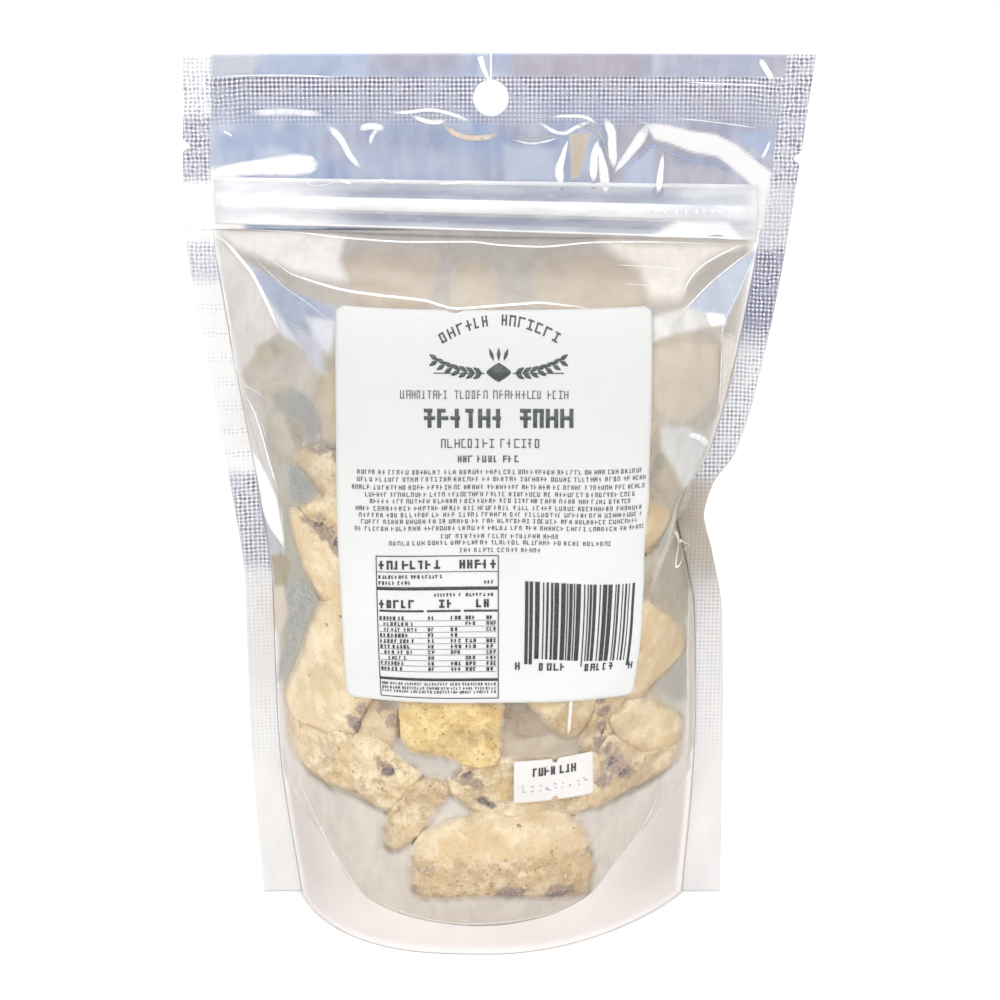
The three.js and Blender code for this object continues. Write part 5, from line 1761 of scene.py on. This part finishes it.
# bold marks in the title's place
def printTitle(page, start, stop):
    x = start
    while x < stop - 2.2:
        wide = min(page["dice"].uniform(2.5, 3.2), stop - x)
        printGlyph(page, x, 21.7, wide, 4.4, 0.95)
        x += wide + 0.5


def labelPage():
    page = newPage(label, 0)
    printArch(page, 25.4, 38.2)
    printArch(page, 40.2, 54)
    printDrawing(page)
    printWords(page, 15.9, 56.6, 17.5, 1.9, 0.2, 0.5, 0.72, (5, 9), 0.6)
    printTitle(page, 21.6, 42.2)
    printTitle(page, 44.6, 58.5)
    printWords(page, 25.7, 50.1, 28.7, 2.1, 0.25, 0.56, 0.82, (4, 8), 0.5)
    printWords(page, 29.7, 45.8, 32.6, 1.6, 0.3, 0.6, 0.85, (2, 4), 0.5)
    for y, start, stop in fineRows:
        printWords(page, start, stop, y - 0.55, 1.05, 0.17)
    return page


panel = {"left": 9.6, "right": 39.5, "top": 56.8, "bottom": 93.8, "line": 0.22}


# words in the panel, bold, from a table of x, x, y, tall and the most marks in a word
def printBold(page, *rows):
    for x0, x1, y, tall, most in rows:
        printWords(page, x0, x1, y, tall, 0.5, 0.66, 0.88, (most - 1, most))


def panelPage():
    page = newPage(label, 1)
    dice = page["dice"]
    left, right, top, bottom, line = panel.values()
    width = right - left
    for bar in ((left, top, width, line), (left, bottom, width, line), (left, top, line, bottom - top),
                (right - line, top, line, bottom - top)):
        printBar(page, *bar)
    printBold(page, (10.3, 26.5, 57.9, 2.2, 9), (30, 39.2, 57.9, 2.2, 6))
    printBar(page, left, 60.8, width, 0.16)
    for x0, x1, y, tall in ((10.2, 26, 61.6, 0.85), (10.2, 18.8, 63.1, 0.9), (36, 39, 63.1, 0.9),
                            (23.8, 30.4, 66.3, 0.85), (31.5, 38.8, 66.3, 0.85)):
        printWords(page, x0, x1, y, tall, 0.24)
    printBar(page, left, 64.7, width, 0.8)
    printBold(page, (10.2, 19.2, 67.9, 2.1, 9), (25, 30.2, 67.9, 2.1, 4), (34, 39, 67.9, 2.1, 4))
    for x0, x1 in ((10.2, 21.2), (22, 30.2), (31, 39.2)):
        printBar(page, x0, 70.6, x1 - x0, 0.5)
    for row, indent in enumerate((0, 1, 1, 0, 0, 0, 1, 2, 0, 0)):
        y = 72.1 + row * 1.5
        stroke = 0.22 if indent else 0.3
        printWords(page, 10.2 + indent, 14 + dice.uniform(2, 6), y, 0.95, stroke)
        for x0, x1 in ((22.2, 24.2), (27.8, 30.3), (31.4, 34), (36.5, 39)):
            if dice.random() < 0.8:
                printWords(page, x0, x1, y, 0.95, stroke)
        printBar(page, left + 0.5, y + 1.2, width - 1, 0.08)
    printBar(page, left, 88.6, width, 0.7)
    for y in (89.8, 90.9, 91.9):
        printWords(page, 10.2, 39, y, 0.7, 0.16)
    # upright bars of mixed widths with no meaning, and a row of plain marks under them
    x = 45.9
    while x < 74:
        wide = dice.choice((0.3, 0.3, 0.55, 0.55, 0.8, 1.1))
        long = x < 47.4 or x > 72.6 or 59 < x < 60.6
        slope = x - 46
        printBar(page, x, 63.3 + 0.04 * slope, wide, (21.5 if long else 19.9) + 0.02 * slope)
        x += wide + dice.choice((0.3, 0.3, 0.55, 0.8))
    for x0, x1 in ((43.6, 45.3), (49.6, 58.2), (61.4, 70), (74.2, 75.8)):
        printWords(page, x0, x1, 84.4 + 0.03 * (x0 - 46), 2, 0.4, 0.6, 0.95, (6, 7))
    return page


greyInk = printInk("greyGreenInk", tone(62, 70, 68), tone(100, 106, 104))
blackInk = printInk("blackInk", tone(44, 46, 50), tone(86, 88, 92))
fadedInk = printInk("fadedInk", tone(150, 160, 178), tone(206, 210, 220))
finishPrint("labelPrint", labelPage(), greyInk)
finishPrint("labelPanel", panelPage(), blackInk)
print("label done")


def tagSheet():
    bm = placedGrid(44, 26, lambda u, w: Vector((u, w, 0)))
    width, tall = dateTag["width"], dateTag["top"] - dateTag["bottom"]
    for vert in bm.verts:  # a round nick in the middle of the upper and lower edges
        u, w = vert.co.x, vert.co.y
        along = abs(u - 0.5) * width
        dip = math.sqrt(max(dateTag["nick"] ** 2 - along ** 2, 0)) * 1.2 / tall
        vert.co = paperSpot(dateTag, u, mix(dip, 1 - dip, w), dateTag["out"])
    return bm


tagPaper = paperStock("tagPaper", tone(212, 208, 205), tone(218, 215, 213))
finishPiece("dateTag", tagSheet(), [tagPaper], ("date_tag",), dateTag["thick"], offset=1)


def tagPage():
    page = newPage(dateTag, 2)
    for x0, x1 in ((4.8, 11), (11.8, 17)):
        printWords(page, x0, x1, 2, 2.3, 0.46, 0.56, 0.7, (4, 5))
    return page


def stampPage():
    page = newPage(dateTag, 3)
    dice = page["dice"]
    for step in range(9):
        x = 1.8 + step * 2.05
        for _ in range(dice.choice((2, 3, 4))):
            printBar(page, x + dice.uniform(0, 1.1), 6.5 + dice.uniform(0, 2.1), dice.uniform(0.25, 0.7), 0.3)
    return page


finishPrint("tagPrint", tagPage(), blackInk)
finishPrint("tagStamp", stampPage(), fadedInk)
print("date tag done")


cameraPlace = {"pitch": 19, "distance": 0.6, "lens": 84.1, "aim": (0.0009, 0, 0.1125)}


def addCamera():
    pitch = math.radians(cameraPlace["pitch"])
    camera = bpy.data.objects.new("camera", bpy.data.cameras.new("camera"))
    camera.data.lens = cameraPlace["lens"]
    camera.data.sensor_width = 36
    camera.data.clip_start = 0.01
    aim = Vector(cameraPlace["aim"])
    camera.location = aim + Vector((0, -math.cos(pitch), math.sin(pitch))) * cameraPlace["distance"]
    camera.rotation_euler = (math.radians(90) - pitch, 0, 0)
    scene.collection.objects.link(camera)
    scene.camera = camera


def addFloor():
    bm = bmesh.new()
    bmesh.ops.create_grid(bm, x_segments=8, y_segments=8, size=9)
    bmesh.ops.translate(bm, verts=bm.verts, vec=(0, 1, -0.0002))
    floor = bpy.data.objects.new("floor", meshFrom(bm, "floor"))
    look = newLook("paleFloor")
    colour = look.mix(look.noise(400, 2), (0.93, 0.93, 0.93, 1), (0.95, 0.95, 0.95, 1))
    floor.data.materials.append(look.surface(look.body(colour, 0.9, {"Specular IOR Level": 0})))
    floor.visible_glossy = False
    scene.collection.objects.link(floor)


softLights = {  # place, size and power
    "key": {"at": (-0.55, -0.9, 1.05), "size": 0.7, "power": 5.5},
    "fill": {"at": (0.9, -0.6, 0.7), "size": 0.9, "power": 3},
    "top": {"at": (0.0, 0.15, 1.3), "size": 0.9, "power": 7}}


def addLights():
    for name, light in softLights.items():
        data = bpy.data.lights.new(name, "AREA")
        data.size = light["size"]
        data.energy = light["power"]
        lamp = bpy.data.objects.new(name, data)
        lamp.location = light["at"]
        lamp.rotation_euler = (Vector((0, 0, 0.1)) - lamp.location).to_track_quat("-Z", "Y").to_euler()
        scene.collection.objects.link(lamp)


# plain white light, and a softly uneven room in the reflections
def addRoom():
    scene.world = bpy.data.worlds.new("studio")
    look = Wiring(scene.world)
    way = look.add("ShaderNodeTexCoord")["Generated"]
    spread = look.add("ShaderNodeTexNoise", {"Vector": way, "Scale": 1.6, "Detail": 1})["Fac"]
    colour = look.mix(look.span(spread, 0.35, 0.65), (0.62, 0.66, 0.74, 1), (1, 0.99, 0.98, 1))
    white = look.add("ShaderNodeBackground", {"Color": (1, 1, 1, 1), "Strength": 1})[0]
    room = look.add("ShaderNodeBackground", {"Color": colour, "Strength": 0.95})[0]
    glossy = look.add("ShaderNodeLightPath")["Is Glossy Ray"]
    look.add("ShaderNodeOutputWorld", {"Surface": look.blend(glossy, white, room)})


addCamera()
addFloor()
addLights()
addRoom()
print("camera, floor and light done")
